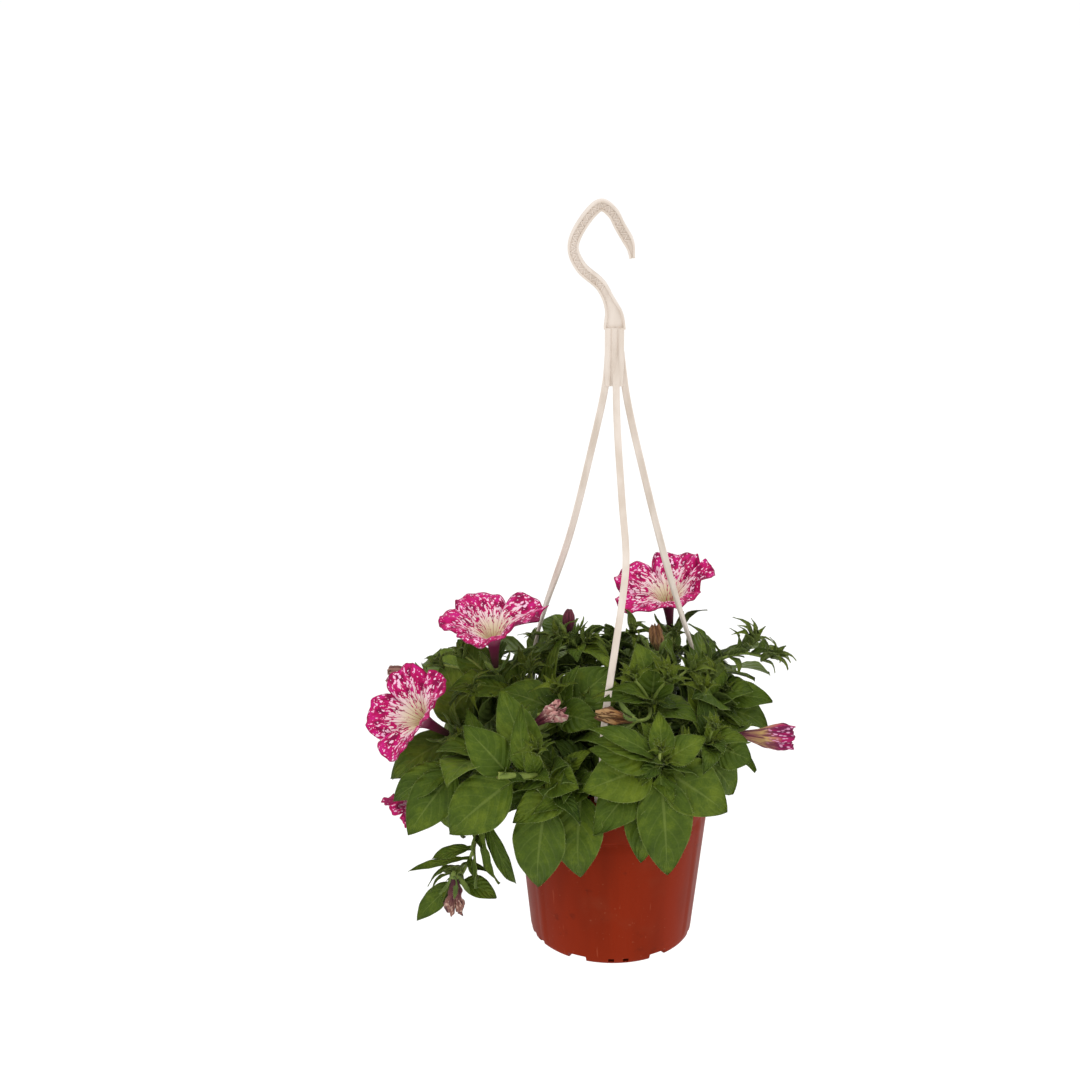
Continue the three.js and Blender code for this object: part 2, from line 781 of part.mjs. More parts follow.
/** The leaves of one stem, as blade sizes: those with a stated tip, then those placed by rule. */
function leavesOf(stem) {
  const curve = stemCurve(stem);
  const stated = stem.leaves.map(([share, x, y, z, width, roll]) => ({
    base: curve.getPointAt(share),
    tip: new THREE.Vector3(x, y, z),
    width,
    roll,
  }));
  const { count, from, to, length, rise, seed, narrow = false } = stem.fill;
  const draw = draws(seed);
  const spread = (mean, range) => mean + range * (2 * draw() - 1);
  const start = 360 * draw();
  const ruled = Array.from({ length: count }, (_, i) => {
    const share = THREE.MathUtils.lerp(from, to, (i + 0.5) / count);
    const heading = THREE.MathUtils.degToRad(start + GOLDEN_ANGLE * i + spread(0, 30));
    const climb = THREE.MathUtils.degToRad(spread(rise, 22));
    const long = spread(length, length * 0.2);
    const base = curve.getPointAt(share);
    const way = new THREE.Vector3(Math.cos(heading), Math.sin(heading), Math.tan(climb)).normalize();
    const out = new THREE.Vector3(base.x, base.y, 0).divideScalar(110);
    const tip = way.add(out).normalize().multiplyScalar(long).add(base);
    const width = narrow ? long * 0.24 : long * spread(0.62, 0.05);
    return { base, tip, width, roll: spread(0, 18), cuts: SMALL_CUTS, narrow };
  });
  return [...stated, ...ruled];
}

function leafyStem(stem) {
  const curve = stemCurve(stem);
  let made = rod(curve, stem.radius, Math.round(curve.getLength() / STEM.pitch));
  for (const leaf of leavesOf(stem)) made = made.add(leaf.narrow ? lobe(leaf) : blade(leaf));
  for (const bloom of BLOOMS.filter((b) => b.stem === stem.name)) made = made.add(calyx(bloom, curve));
  return made;
}

/** The hole in the soil that a stem stands in. */
function stemHole({ path, radius }) {
  const [[x, y]] = path;
  const low = new THREE.Vector3(x, y, STEM.root - GAP);
  const high = new THREE.Vector3(x, y, STEM.root + STEM.straight + 4);
  return rod(new THREE.LineCurve3(low, high), radius + STEM.holeClearance, 1);
}

/** A trumpet of five joined petals: a tube that flares into a limb of round lobes. */
function openBloom({ base, axis, tube, radius, turn, lifts }) {
  const way = new THREE.Vector3(...axis).normalize();
  const origin = new THREE.Vector3(...base);
  const start = THREE.MathUtils.degToRad(turn);
  // Each section: [reach, height, share of the lobes' own shape].
  const sections = [
    [TRUMPET.tubeRadius, 0, 0],
    [0.53 * TRUMPET.throatRadius, 0.75 * tube, 0],
    [TRUMPET.throatRadius, tube, 0],
    [0.58 * radius, tube + 6, 0.45],
    [radius, tube + 9, 1],
  ];
  const ring = ([reach, height, share], thickness) =>
    circle(TRUMPET.sides).map((a) => {
      const petal = Math.abs(Math.cos(2.5 * a)); // 1 in the middle of a lobe, 0 at the notches
      const lobeIndex = Math.floor(((a * 5) / (2 * Math.PI) + 0.5) % 5);
      const edge = 1 + share * (0.17 * petal ** 1.4 - 0.05);
      const lift = share * (lifts[lobeIndex] * petal ** 0.5 - 2 * (1 - petal));
      const inset = (1 - share) * thickness;
      return polar(origin, way, a + start, reach * edge - inset, height + lift + share * thickness);
    });
  const outside = sections.map((section) => ring(section, 0));
  const inside = sections.slice(1).map((section) => ring(section, TRUMPET.thickness));
  return solid(skin([...outside, ...inside.reverse()]));
}

/** A closed bud or a withered bloom: sections of given radii, crumpled by a repeatable draw. */
function closedBloom({ name, base, axis, length, radii, crumple }) {
  const way = new THREE.Vector3(...axis).normalize();
  const origin = new THREE.Vector3(...base);
  const draw = draws(name.length);
  const ring = (radius, k) =>
    circle(8).map((a) => {
      const reach = radius * (1 + crumple * (k > 1 ? 2 * draw() - 1 : 0));
      return polar(origin, way, a, reach, (length * k) / (radii.length - 1));
    });
  return solid(skin(radii.map(ring)));
}

/** The hook, its collar, the web that joins the straps, the straps and their ends: one moulding. */
function hanger() {
  const middle = (low, high) => new THREE.Vector3(COLLAR.x, 0, (low + high) / 2);
  const collarHeight = COLLAR.high - COLLAR.low;
  let made = hookBow().add(block(COLLAR.width, COLLAR.depth, collarHeight, middle(COLLAR.low, COLLAR.high)));
  made = made.add(block(WEB.width, WEB.depth, COLLAR.low + 1 - WEB.low, middle(WEB.low, COLLAR.low + 1)));
  for (const course of STRAPS) made = made.add(strap(course)).add(strapEnd(course.azimuth));
  return made;
}

/** The soil with a hole for every stem. */
function plantedSoil() {
  return STEMS.reduce((made, stem) => made.subtract(stemHole(stem)), soil());
}

// ---- Assembly ----
const basket = new THREE.Group();
basket.add(mesh("pot", pot(), TERRACOTTA));
basket.add(mesh("soil", plantedSoil(), PEAT));
basket.add(mesh("hanger", hanger(), CREAM));
for (const stem of STEMS) basket.add(mesh(stem.name, leafyStem(stem), LEAF_GREEN));
for (const bloom of BLOOMS) {
  const open = "lifts" in bloom;
  basket.add(mesh(bloom.name, open ? openBloom(bloom) : closedBloom(bloom), open ? PETAL : SPENT));
}
basket.position.set(-HOOK_SADDLE[0], 0, -HOOK_SADDLE[1]);

const part = new THREE.Group();
part.add(basket);
export default part;
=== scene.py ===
"""Looks of a flowering petunia in a moulded hanging pot with a one-piece hanger.

Lengths in the classes are millimetres in the pot's own frame: x to the right, y to the back and z up
from the pot's feet, on the pot's axis. One function turns them into the row's metres, whose origin is
under the hook's bow. Azimuths are degrees round the pot: 0 is the front (-y) and 90 the right (+x).
"""

import logging
import math
from collections.abc import Callable, Sequence
from dataclasses import dataclass, field
from enum import Enum

import bpy
import numpy as np
from bpy.types import Material, Mesh, Node, NodeSocket, Object
from mathutils import Matrix, Vector


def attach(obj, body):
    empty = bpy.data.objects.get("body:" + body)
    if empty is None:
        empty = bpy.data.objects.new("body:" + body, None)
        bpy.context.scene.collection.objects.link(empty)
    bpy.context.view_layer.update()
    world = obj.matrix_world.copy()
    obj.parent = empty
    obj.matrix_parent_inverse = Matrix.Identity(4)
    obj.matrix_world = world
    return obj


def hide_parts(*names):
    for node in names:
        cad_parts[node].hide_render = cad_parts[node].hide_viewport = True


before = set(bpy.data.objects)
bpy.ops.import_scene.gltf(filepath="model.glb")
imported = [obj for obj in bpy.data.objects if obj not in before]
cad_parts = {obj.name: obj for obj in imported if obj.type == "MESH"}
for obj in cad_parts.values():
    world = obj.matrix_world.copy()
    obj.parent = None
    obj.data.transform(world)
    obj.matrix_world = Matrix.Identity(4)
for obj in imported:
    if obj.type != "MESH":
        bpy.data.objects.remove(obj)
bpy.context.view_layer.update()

log = logging.getLogger("petunia")

BODY = "root"
HOOK_SADDLE = np.array([-11.4, 0.0, 518.0])
UP = np.array([0.0, 0.0, 1.0])
RIGHT = np.array([1.0, 0.0, 0.0])
GOLDEN_ANGLE = 137.5
PETALS = 5
VEIN_LEAN, VEIN_BEND = 0.34, 1.35
# A linear congruential generator's numbers, which give the same draws on every machine.
SEED_FACTOR, DRAW_FACTOR, DRAW_STEP, DRAW_RANGE = 40503, 1664525, 1013904223, 2**32

Array = np.ndarray
Faces = list[tuple[int, ...]]
Solid = tuple[Array, Faces]
Point = tuple[float, float, float]
Rows = tuple[tuple[float, ...], ...]


# ---- Small tools ----
def to_row(points: Array) -> Array:
    """Millimetres in the pot's frame as metres in the row's frame."""
    return (np.asarray(points, float) - HOOK_SADDLE) / 1000


def unit(vector: Array) -> Array:
    """The vector at length 1."""
    return vector / np.linalg.norm(vector)


def units(vectors: Array) -> Array:
    """Each row of vectors at length 1."""
    return vectors / np.linalg.norm(vectors, axis=1)[:, None]


def turns(count: int) -> Array:
    """Angles in even steps round a circle, in radians."""
    return 2 * np.pi * np.arange(count) / count


def spokes(angles: Array, u: Array, v: Array) -> Array:
    """The directions at angles from u towards v."""
    return np.cos(angles)[..., None] * u + np.sin(angles)[..., None] * v


def around(azimuth: float, reach: float, height: float) -> Array:
    """The point at an azimuth in degrees, a distance from the pot's axis and a height."""
    a = math.radians(azimuth)
    return np.array([reach * math.sin(a), -reach * math.cos(a), height])


def smoothstep(x: Array | float, low: float, high: float) -> Array | float:
    """0 below low, 1 above high, and smooth between them."""
    t = np.clip((x - low) / (high - low), 0, 1)
    return t * t * (3 - 2 * t)


def turned_about(vector: Array, axis: Array, degrees: float) -> Array:
    """The vector turned about an axis of length 1."""
    a, cross = math.radians(degrees), np.cross(axis, vector)
    return vector * math.cos(a) + cross * math.sin(a) + axis * (axis @ vector) * (1 - math.cos(a))


def draws(seed: int) -> Callable[[], float]:
    """A repeatable stream of numbers from 0 to 1.

    Args:
        seed: Names the stream.

    Returns:
        A function that gives the next number each time it is called.
    """
    state = seed * SEED_FACTOR % DRAW_RANGE

    def draw() -> float:
        """Draws once.

        Returns:
            The next number.
        """
        nonlocal state
        state = (state * DRAW_FACTOR + DRAW_STEP) % DRAW_RANGE
        return state / DRAW_RANGE

    return draw


class Line:
    """A smooth line through points, read by its share of length."""

    # How many steps measure it, how far apart a direction is read, and the least gap between points.
    TABLE = 200
    NEAR = 0.004
    LEAST = 1e-4

    def __init__(self, points: Sequence[Sequence[float]]) -> None:
        """Measures the line.

        Args:
            points: The points that it runs through.
        """
        self.points = np.array(points, float)
        self.steps = np.linspace(0, 1, self.TABLE + 1)
        table = np.array([self._at_parameter(t) for t in self.steps])
        self.lengths = np.concatenate([[0], np.cumsum(np.linalg.norm(np.diff(table, axis=0), axis=1))])

    @property
    def length(self) -> float:
        """The whole length in millimetres."""
        return float(self.lengths[-1])

    def _at_parameter(self, t: float) -> Array:
        """Reads the line as a centripetal Catmull-Rom curve.

        Args:
            t: The parameter, from 0 to 1.

        Returns:
            The point there.
        """
        p, last = self.points, len(self.points) - 1
        k = min(int(t * last), last - 1)
        w = t * last - k
        p1, p2 = p[k], p[k + 1]
        p0 = p[k - 1] if k > 0 else 2 * p1 - p2
        p3 = p[k + 2] if k + 2 <= last else 2 * p2 - p1
        gaps = (p1 - p0, p2 - p1, p3 - p2)
        d0, d1, d2 = (max(np.linalg.norm(gap) ** 0.5, self.LEAST) for gap in gaps)
        m1 = ((p1 - p0) / d0 - (p2 - p0) / (d0 + d1) + (p2 - p1) / d1) * d1
        m2 = ((p2 - p1) / d1 - (p3 - p1) / (d1 + d2) + (p3 - p2) / d2) * d1
        square = -3 * p1 + 3 * p2 - 2 * m1 - m2
        return p1 + m1 * w + square * w**2 + (2 * p1 - 2 * p2 + m1 + m2) * w**3

    def at(self, share: float) -> Array:
        """The point at a share of the length."""
        return self._at_parameter(float(np.interp(share * self.length, self.lengths, self.steps)))

    def along(self, share: float) -> Array:
        """The direction of the line at a share of the length."""
        low, high = max(0.0, share - self.NEAR), min(1.0, share + self.NEAR)
        return unit(self.at(high) - self.at(low))


def loft(rings: Array) -> Solid:
    """A closed skin over rings, with its faces turned outwards.

    Args:
        rings: Points as [ring, place round it, 3].

    Returns:
        The points and the faces.
    """
    index = np.arange(rings.shape[0] * rings.shape[1]).reshape(rings.shape[:2])
    low, high = index[:-1], index[1:]
    quads = np.stack([low, np.roll(low, -1, 1), np.roll(high, -1, 1), high], -1).reshape(-1, 4)
    points = rings.reshape(-1, 3)
    a, b, c, d = (points[quads[:, k]] - points.mean(0) for k in range(4))
    faces = [tuple(quad) for quad in quads.tolist()]
    faces += [tuple(index[0][::-1].tolist()), tuple(index[-1].tolist())]
    if np.einsum("ij,ij->", a, np.cross(b, c) + np.cross(c, d)) < 0:
        faces = [face[::-1] for face in faces]
    return points, faces


def tube(centres: Array, radii: Array, sides: int) -> Solid:
    """A closed round rod along centres.

    Args:
        centres: Points along the middle.
        radii: The radius at each of them.
        sides: How many sides it has.

    Returns:
        The points and the faces.
    """
    ways = units(np.gradient(centres, axis=0))
    u = unit(np.cross(ways[0], UP if abs(ways[0][2]) < 0.9 else RIGHT))
    rings = []
    for centre, way, radius in zip(centres, ways, radii):
        u = unit(u - way * (u @ way))
        rings.append(centre + radius * spokes(turns(sides), u, np.cross(way, u)))
    return loft(np.array(rings))


class Shapes:
    """Closed shapes gathered into one piece, with the values that its finishes read at each point.

    place and tone are what a finish reads: where a point is on its own leaf, petal or stem, and a number
    that is the same all over one of them.
    """

    def __init__(self) -> None:
        """Starts with nothing gathered."""
        self.points: list[Array] = []
        self.faces: Faces = []
        self.finishes: list[int] = []
        self.places: list[Array] = []
        self.tones: list[Array] = []
        self.count = 0

    def add(
        self, shape: Solid, finish: int = 0, place: Array | None = None, tone: float = 0.5
    ) -> None:
        """Adds one closed shape.

        Args:
            shape: Its points and faces.
            finish: Which of the piece's materials it has.
            place: A vector for each point.
            tone: A number for the whole shape.
        """
        points, faces = shape
        self.points.append(points)
        self.faces.extend(tuple(self.count + i for i in face) for face in faces)
        self.finishes.extend([finish] * len(faces))
        self.places.append(np.zeros_like(points) if place is None else place)
        self.tones.append(np.full(len(points), tone))
        self.count += len(points)

    def piece(self, name: str, materials: Sequence[Material]) -> Object:
        """The gathered shapes as one mesh object.

        Args:
            name: The piece's name.
            materials: Its materials, in the order that add() counted them.

        Returns:
            The object, at the origin.
        """
        mesh = bpy.data.meshes.new(name)
        mesh.from_pydata(to_row(np.concatenate(self.points)).tolist(), [], self.faces)
        for material in materials:
            mesh.materials.append(material)
        mesh.polygons.foreach_set("material_index", self.finishes)
        mesh.polygons.foreach_set("use_smooth", [True] * len(self.faces))
        mesh.attributes.new("place", "FLOAT_VECTOR", "POINT").data.foreach_set(
            "vector", np.concatenate(self.places).astype(np.float32).ravel()
        )
        mesh.attributes.new("tone", "FLOAT", "POINT").data.foreach_set(
            "value", np.concatenate(self.tones).astype(np.float32)
        )
        return placed(name, mesh)


def settle(piece: Object, nodes: Sequence[str] = ()) -> Object:
    """Ties a finished piece to the frame.

    Args:
        piece: The finished piece.
        nodes: The solids that it stands for.

    Returns:
        The same piece.
    """
    if nodes:
        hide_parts(*nodes)
    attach(piece, BODY)
    triangles = sum(len(polygon.vertices) - 2 for polygon in piece.data.polygons)
    log.info("%s: %d triangles", piece.name, triangles)
    return piece


def placed(name: str, data: object) -> Object:
    """A new object in the scene."""
    bpy.context.scene.collection.objects.link(made := bpy.data.objects.new(name, data))
    return made


def alone(piece: Object | None = None) -> None:
    """Deselects everything, then selects one piece and makes it the active one.

    Args:
        piece: The piece, or None to leave nothing selected.
    """
    bpy.ops.object.select_all(action="DESELECT")
    if piece is not None:
        piece.select_set(True)
        bpy.context.view_layer.objects.active = piece


def primitive(make: Callable[..., object], **settings: object) -> Object:
    """Adds a primitive with nothing else selected.

    Args:
        make: The operator that adds it.
        settings: The operator's own values.

    Returns:
        The new object.
    """
    alone()
    make(**settings)
    return bpy.context.object


def with_modifier(piece: Object, kind: str, **settings: object) -> Object:
    """Adds a modifier to a piece and applies it.

    Args:
        piece: The object to change.
        kind: The modifier's type.
        settings: The modifier's own values.

    Returns:
        The same object.
    """
    alone(piece)
    modifier = piece.modifiers.new(kind.title(), kind)
    for key, value in settings.items():
        setattr(modifier, key, value)
    bpy.ops.object.modifier_apply(modifier=modifier.name)
    return piece


def in_edit_mode(piece: Object, *steps: Callable[[], object]) -> None:
    """Runs edit-mode operators on the whole of a piece.

    Args:
        piece: The object to change.
        steps: The operators, one after another.
    """
    alone(piece)
    bpy.ops.object.mode_set(mode="EDIT")
    bpy.ops.mesh.select_all(action="SELECT")
    for step in steps:
        step()
    bpy.ops.object.mode_set(mode="OBJECT")


def in_order(mesh: Mesh) -> None:
    """Puts a mesh's points and faces in order of place, because a boolean leaves them in any order.

    Args:
        mesh: The mesh, which keeps its shape.
    """
    places = [tuple(vertex.co) for vertex in mesh.vertices]
    order = sorted(range(len(places)), key=places.__getitem__)
    rank = {old: new for new, old in enumerate(order)}
    faces = []
    for polygon in mesh.polygons:
        ring = [rank[i] for i in polygon.vertices]
        start = ring.index(min(ring))
        faces.append(tuple(ring[start:] + ring[:start]))
    mesh.clear_geometry()
    mesh.from_pydata([places[i] for i in order], [], sorted(faces))
    mesh.update()


def joined(pieces: Sequence[Object], name: str) -> Object:
    """Makes several objects one, at the origin, with its place in its mesh.

    Args:
        pieces: The objects, of which the first is kept.
        name: The new name.

    Returns:
        The joined object.
    """
    alone(pieces[0])
    for piece in pieces:
        piece.select_set(True)
    if len(pieces) > 1:
        bpy.ops.object.join()
    bpy.ops.object.transform_apply(location=True, rotation=True, scale=True)
    made = bpy.context.object
    made.name = name
    made.data.name = name
    return made


# ---- Finishes ----
SMOOTH = {"interpolation_type": "SMOOTHSTEP"}
TIMES = {"operation": "MULTIPLY"}
PLUS = {"operation": "ADD"}
MINUS = {"operation": "SUBTRACT"}
TIMES_PLUS = {"operation": "MULTIPLY_ADD"}
UNSIGNED = {"operation": "ABSOLUTE"}
COLOUR = {"data_type": "RGBA"}


def srgb(code: str) -> tuple[float, float, float, float]:
    """An sRGB hex colour as the linear colour that shaders work in."""
    parts = [int(code[i : i + 2], 16) / 255 for i in (1, 3, 5)]
    return (*(c / 12.92 if c <= 0.04045 else ((c + 0.055) / 1.055) ** 2.4 for c in parts), 1.0)


class Shader:
    """A material while it is being made: its node tree round one principled shader."""

    def __init__(self, name: str, **constants: object) -> None:
        """Starts the material.

        Args:
            name: The material's name.
            constants: The shader's own values, with _ for each space of a socket's name.
        """
        self.material = bpy.data.materials.new(name)
        self.material.use_nodes = True
        self.tree = self.material.node_tree
        self.surface = self.tree.nodes["Principled BSDF"]
        for key, value in constants.items():
            self.feed(self.surface.inputs[key.replace("_", " ")], value)

    def add(
        self,
        kind: str,
        inputs: dict[str | int, object] | None = None,
        stops: Sequence[tuple[float, str]] = (),
        **settings: object,
    ) -> Node:
        """Adds a node with its settings and links.

        Args:
            kind: The node's type, without "ShaderNode".
            inputs: What goes into each input: a node, one of a node's outputs, a number or a hex colour.
            stops: A colour ramp's positions and colours.
            settings: The node's own properties.

        Returns:
            The new node.
        """
        node = self.tree.nodes.new("ShaderNode" + kind)
        for key, value in settings.items():
            setattr(node, key, value)
        for key, value in (inputs or {}).items():
            self.feed(node.inputs[key], value)
        for place, (position, code) in enumerate(stops):
            elements = node.color_ramp.elements
            element = elements[place] if place < len(elements) else elements.new(1.0)
            element.position = position
            element.color = srgb(code)
        return node

    def feed(self, socket: NodeSocket, value: object) -> None:
        """Links a node or an output to a socket, or sets the socket to a value.

        Args:
            socket: The input socket.
            value: A node, one of a node's outputs, a number, a vector or a hex colour.
        """
        if isinstance(value, Node):
            value = next(output for output in value.outputs if output.enabled)
        if isinstance(value, NodeSocket):
            self.tree.links.new(value, socket)
        else:
            socket.default_value = srgb(value) if isinstance(value, str) else value

    def laid(
        self, colour: object, pattern: Node, low: object, high: object, tint: object, most: float = 1.0
    ) -> Node:
        """A tint laid over a colour where a pattern rises from low to high."""
        mask = self.add("MapRange", {0: pattern, 1: low, 2: high, 4: most}, **SMOOTH)
        return self.add("Mix", {0: mask, 6: colour, 7: tint}, **COLOUR)

    def done(
        self, colour: object, height: object = None, distance: float = 0.0005, strength: float = 1.0
    ) -> Material:
        """Links the colour and the relief and returns the material.

        Args:
            colour: The colour output.
            height: The relief, from 0 to 1, or None for a smooth surface.
            distance: How high the relief stands, in metres.
            strength: How much of it is used.

        Returns:
            The material.
        """
        self.feed(self.surface.inputs["Base Color"], colour)
        if height is not None:
            inputs = {"Height": height, "Distance": distance, "Strength": strength}
            self.feed(self.surface.inputs["Normal"], self.add("Bump", inputs))
        return self.material


@dataclass(frozen=True)
class PotPlastic:
    """Terracotta-coloured polypropylene, injection moulded: satin, with flow marks, scuffs and soil smudges."""

    clay: str = "#7F240B"
    flow: str = "#71200A"
    dust: str = "#7A4430"
    scuff: str = "#9A5A42"
    rub: str = "#A8563C"
    smudge: str = "#4A170C"
    flow_mm: float = 29.41
    cloud_mm: float = 45.45
    scuff_mm: float = 2.381
    rub_mm: float = 3.333
    smudge_mm: float = 20.83
    grain_mm: float = 1.2

    def material(self) -> Material:
        """Makes the pot's material.

        Returns:
            The material.
        """
        s = Shader("moulded_terracotta_polypropylene", IOR=1.49, Specular_IOR_Level=0.04)
        place = s.add("TexCoord").outputs["Object"]
        # Flow marks run down the wall, so their cells are stretched along z.
        tall = s.add("Mapping", {"Vector": place, "Scale": (1.0, 1.0, 0.22)})
        flow = s.add("TexNoise", {"Vector": tall, "Scale": 1000 / self.flow_mm, "Detail": 3.0})
        clouds = {"Vector": place, "Scale": 1000 / self.cloud_mm, "Detail": 4.0, "Roughness": 0.6}
        cloud = s.add("TexNoise", clouds)
        colour = s.laid(self.clay, flow, 0.35, 0.7, self.flow)
        colour = s.laid(colour, cloud, 0.52, 0.75, self.dust, 0.16)
        specks = s.add("TexNoise", {"Vector": place, "Scale": 1000 / self.scuff_mm, "Detail": 1.0})
        colour = s.laid(colour, specks, 0.72, 0.78, self.scuff, 0.25)
        # Thin upright rubs from being stacked, and a few dark smudges of wet soil.
        upright = s.add("Mapping", {"Vector": place, "Scale": (1.0, 1.0, 0.03)})
        strokes = s.add("TexNoise", {"Vector": upright, "Scale": 1000 / self.rub_mm})
        colour = s.laid(colour, strokes, 0.7, 0.76, self.rub, 0.3)
        drops = {"Vector": place, "Scale": 1000 / self.smudge_mm, "Detail": 5.0, "Roughness": 0.7}
        drips = s.add("TexNoise", drops)
        colour = s.laid(colour, drips, 0.6, 0.74, self.smudge, 0.6)
        s.feed(s.surface.inputs["Roughness"], s.add("MapRange", {0: cloud, 3: 0.34, 4: 0.52}))
        grain = s.add("TexNoise", {"Vector": place, "Scale": 1000 / self.grain_mm})
        return s.done(colour, grain, 0.00008, 0.5)


@dataclass(frozen=True)
class HangerPlastic:
    """Off-white polypropylene, injection moulded: satin, with faint flow marks down its length."""

    body: str = "#DDD1C6"
    shade: str = "#CDBFB1"
    flow_mm: float = 11.11
    grain_mm: float = 1.5

    def material(self) -> Material:
        """Makes the hanger's material.

        Returns:
            The material.
        """
        s = Shader("moulded_natural_polypropylene", Roughness=0.42, IOR=1.49, Specular_IOR_Level=0.35)
        place = s.add("TexCoord").outputs["Object"]
        tall = s.add("Mapping", {"Vector": place, "Scale": (1.0, 1.0, 0.3)})
        flow = s.add("TexNoise", {"Vector": tall, "Scale": 1000 / self.flow_mm, "Detail": 3.0})
        colour = s.laid(self.body, flow, 0.35, 0.7, self.shade)
        grain = s.add("TexNoise", {"Vector": place, "Scale": 1000 / self.grain_mm})
        return s.done(colour, grain, 0.00006, 0.4)


@dataclass(frozen=True)
class PottingSoil:
    """Peat potting soil: dark, crumbly and dull, with short brown fibres and painted shade in the gaps between
    its crumbs.
    """

    peat: str = "#1E1712"
    fibre: str = "#4A3423"
    crumb_gap_shade: str = "#120D0A"
    crumb_mm: float = 2.4
    fibre_mm: float = 1.429

    def material(self) -> Material:
        """Makes the soil's material.

        Returns:
            The material.
        """
        s = Shader("peat_potting_soil", Roughness=0.95, IOR=1.4)
        place = s.add("TexCoord").outputs["Object"]
        crumbs = s.add("TexVoronoi", {"Vector": place, "Scale": 1000 / self.crumb_mm})
        stretched = s.add("Mapping", {"Vector": place, "Scale": (1.0, 0.25, 1.0)})
        strands = s.add("TexNoise", {"Vector": stretched, "Scale": 1000 / self.fibre_mm})
        colour = s.laid(self.peat, strands, 0.62, 0.7, self.fibre, 0.7)
        # The gaps between the crumbs, the low parts of the relief, are painted almost black: painted shade.
        colour = s.laid(colour, crumbs, 0.1, 0.75, self.crumb_gap_shade)
        return s.done(colour, s.add("Math", {0: 1.0, 1: crumbs}, **MINUS), 0.0012)


@dataclass(frozen=True)
class Perlite:
    """Expanded perlite: white foamed volcanic glass, dull and pitted, with painted shade in its pits."""

    hollow: str = "#A9A294"
    foam: str = "#E4DFD3"
    pit_mm: float = 1.111

    def material(self) -> Material:
        """Makes the material of the white grains in the soil.

        Returns:
            The material.
        """
        s = Shader("expanded_perlite", Roughness=0.9)
        place = s.add("TexCoord").outputs["Object"]
        pits = s.add("TexNoise", {"Vector": place, "Scale": 1000 / self.pit_mm, "Detail": 3.0})
        # The low parts of the pitted relief get the greyer hollow colour: painted shade in the pits.
        colour = s.add("ValToRGB", {0: pits}, ((0.3, self.hollow), (0.7, self.foam)))
        return s.done(colour, pits, 0.0004)


@dataclass(frozen=True)
class LeafSkin:
    """Petunia leaf: soft, matt and finely hairy, with a paler midrib, arched side veins and a thin light rim,
    partly the pale hairy margin and partly a painted highlight along the edge.

    It reads the leaf's own place: x across from -1 to 1, y along from 0 to 1, z -1 under and 1 on top.
    """

    dark: str = "#293C0C"
    middle: str = "#455814"
    light: str = "#6C7B20"
    vein_and_rim_highlight: str = "#8A9850"
    under: str = "#66763E"
    sheen: str = "#C8D2A8"
    vein_pairs: float = 6.5
    patch_mm: float = 14.29
    fine_mm: float = 1.111

    def material(self) -> Material:
        """Makes the leaves' material.

        Returns:
            The material.
        """
        s = Shader(
            "petunia_leaf_skin", Roughness=0.52, IOR=1.42, Specular_IOR_Level=0.15, Sheen_Weight=0.02,
            Sheen_Tint=self.sheen,
        )
        own = s.add("SeparateXYZ", {0: s.add("Attribute", attribute_name="place").outputs["Vector"]})
        across, along, side = own.outputs
        reach = s.add("Math", {0: across}, **UNSIGNED)
        space = s.add("TexCoord").outputs["Object"]
        broad = {"Vector": space, "Scale": 1000 / self.patch_mm, "Detail": 3.0, "Roughness": 0.6}
        patches = s.add("TexNoise", broad)
        fine = s.add("TexNoise", {"Vector": space, "Scale": 1000 / self.fine_mm})
        tone = s.add("Attribute", attribute_name="tone").outputs["Fac"]
        mood = s.add("Math", {0: patches, 1: 0.78, 2: -0.16}, **TIMES_PLUS)
        mood = s.add("Math", {0: fine, 1: 0.24, 2: mood}, **TIMES_PLUS)
        mood = s.add("Math", {0: tone, 1: 0.42, 2: mood}, **TIMES_PLUS)
        colour = s.add("ValToRGB", {0: mood}, ((0.2, self.dark), (0.52, self.middle), (0.86, self.light)))
        # Side veins start at the midrib and bend towards the tip.
        bend = s.add("Math", {0: reach, 1: VEIN_BEND}, operation="POWER")
        rank = s.add("Math", {0: bend, 1: -VEIN_LEAN, 2: along}, **TIMES_PLUS)
        ranks = s.add("Math", {0: rank, 1: self.vein_pairs}, **TIMES)
        phase = s.add("Math", {0: ranks}, operation="FRACT")
        off_vein = s.add("Math", {0: s.add("Math", {0: phase, 1: 0.5}, **MINUS)}, **UNSIGNED)
        side_vein = s.add("MapRange", {0: off_vein, 1: 0.02, 2: 0.11, 3: 1.0, 4: 0.0}, **SMOOTH)
        fading = s.add("MapRange", {0: reach, 1: 0.55, 2: 0.95, 3: 0.08, 4: 0.0}, **SMOOTH)
        side_vein = s.add("Math", {0: side_vein, 1: fading}, **TIMES)
        width = s.add("MapRange", {0: along, 3: 0.11, 4: 0.025})
        core = s.add("Math", {0: width, 1: 0.35}, **TIMES)
        midrib = s.add("MapRange", {0: reach, 1: core, 2: width, 3: 0.23, 4: 0.0}, **SMOOTH)
        # The thin light rim is partly the pale hairy margin and partly a painted highlight along the edge.
        rim = s.add("MapRange", {0: reach, 1: 0.94, 2: 1.0, 4: 0.32}, **SMOOTH)
        ribs = s.add("Math", {0: midrib, 1: side_vein}, operation="MAXIMUM")
        ribs = s.add("Math", {0: ribs, 1: rim}, operation="MAXIMUM")
        colour = s.add("Mix", {0: ribs, 6: colour, 7: self.vein_and_rim_highlight}, **COLOUR)
        beneath = s.add("MapRange", {0: side, 1: -0.2, 2: 0.2, 3: 0.6, 4: 0.0})
        colour = s.add("Mix", {0: beneath, 6: colour, 7: self.under}, **COLOUR)
        # The blade swells between its veins.
        pores = s.add("Math", {0: fine, 1: 0.25}, **TIMES)
        swell = s.add("Math", {0: off_vein, 1: 1.4, 2: pores}, **TIMES_PLUS)
        relief = s.add("Math", {0: midrib, 1: -0.8, 2: swell}, **TIMES_PLUS)
        return s.done(colour, relief, 0.0011, 0.85)


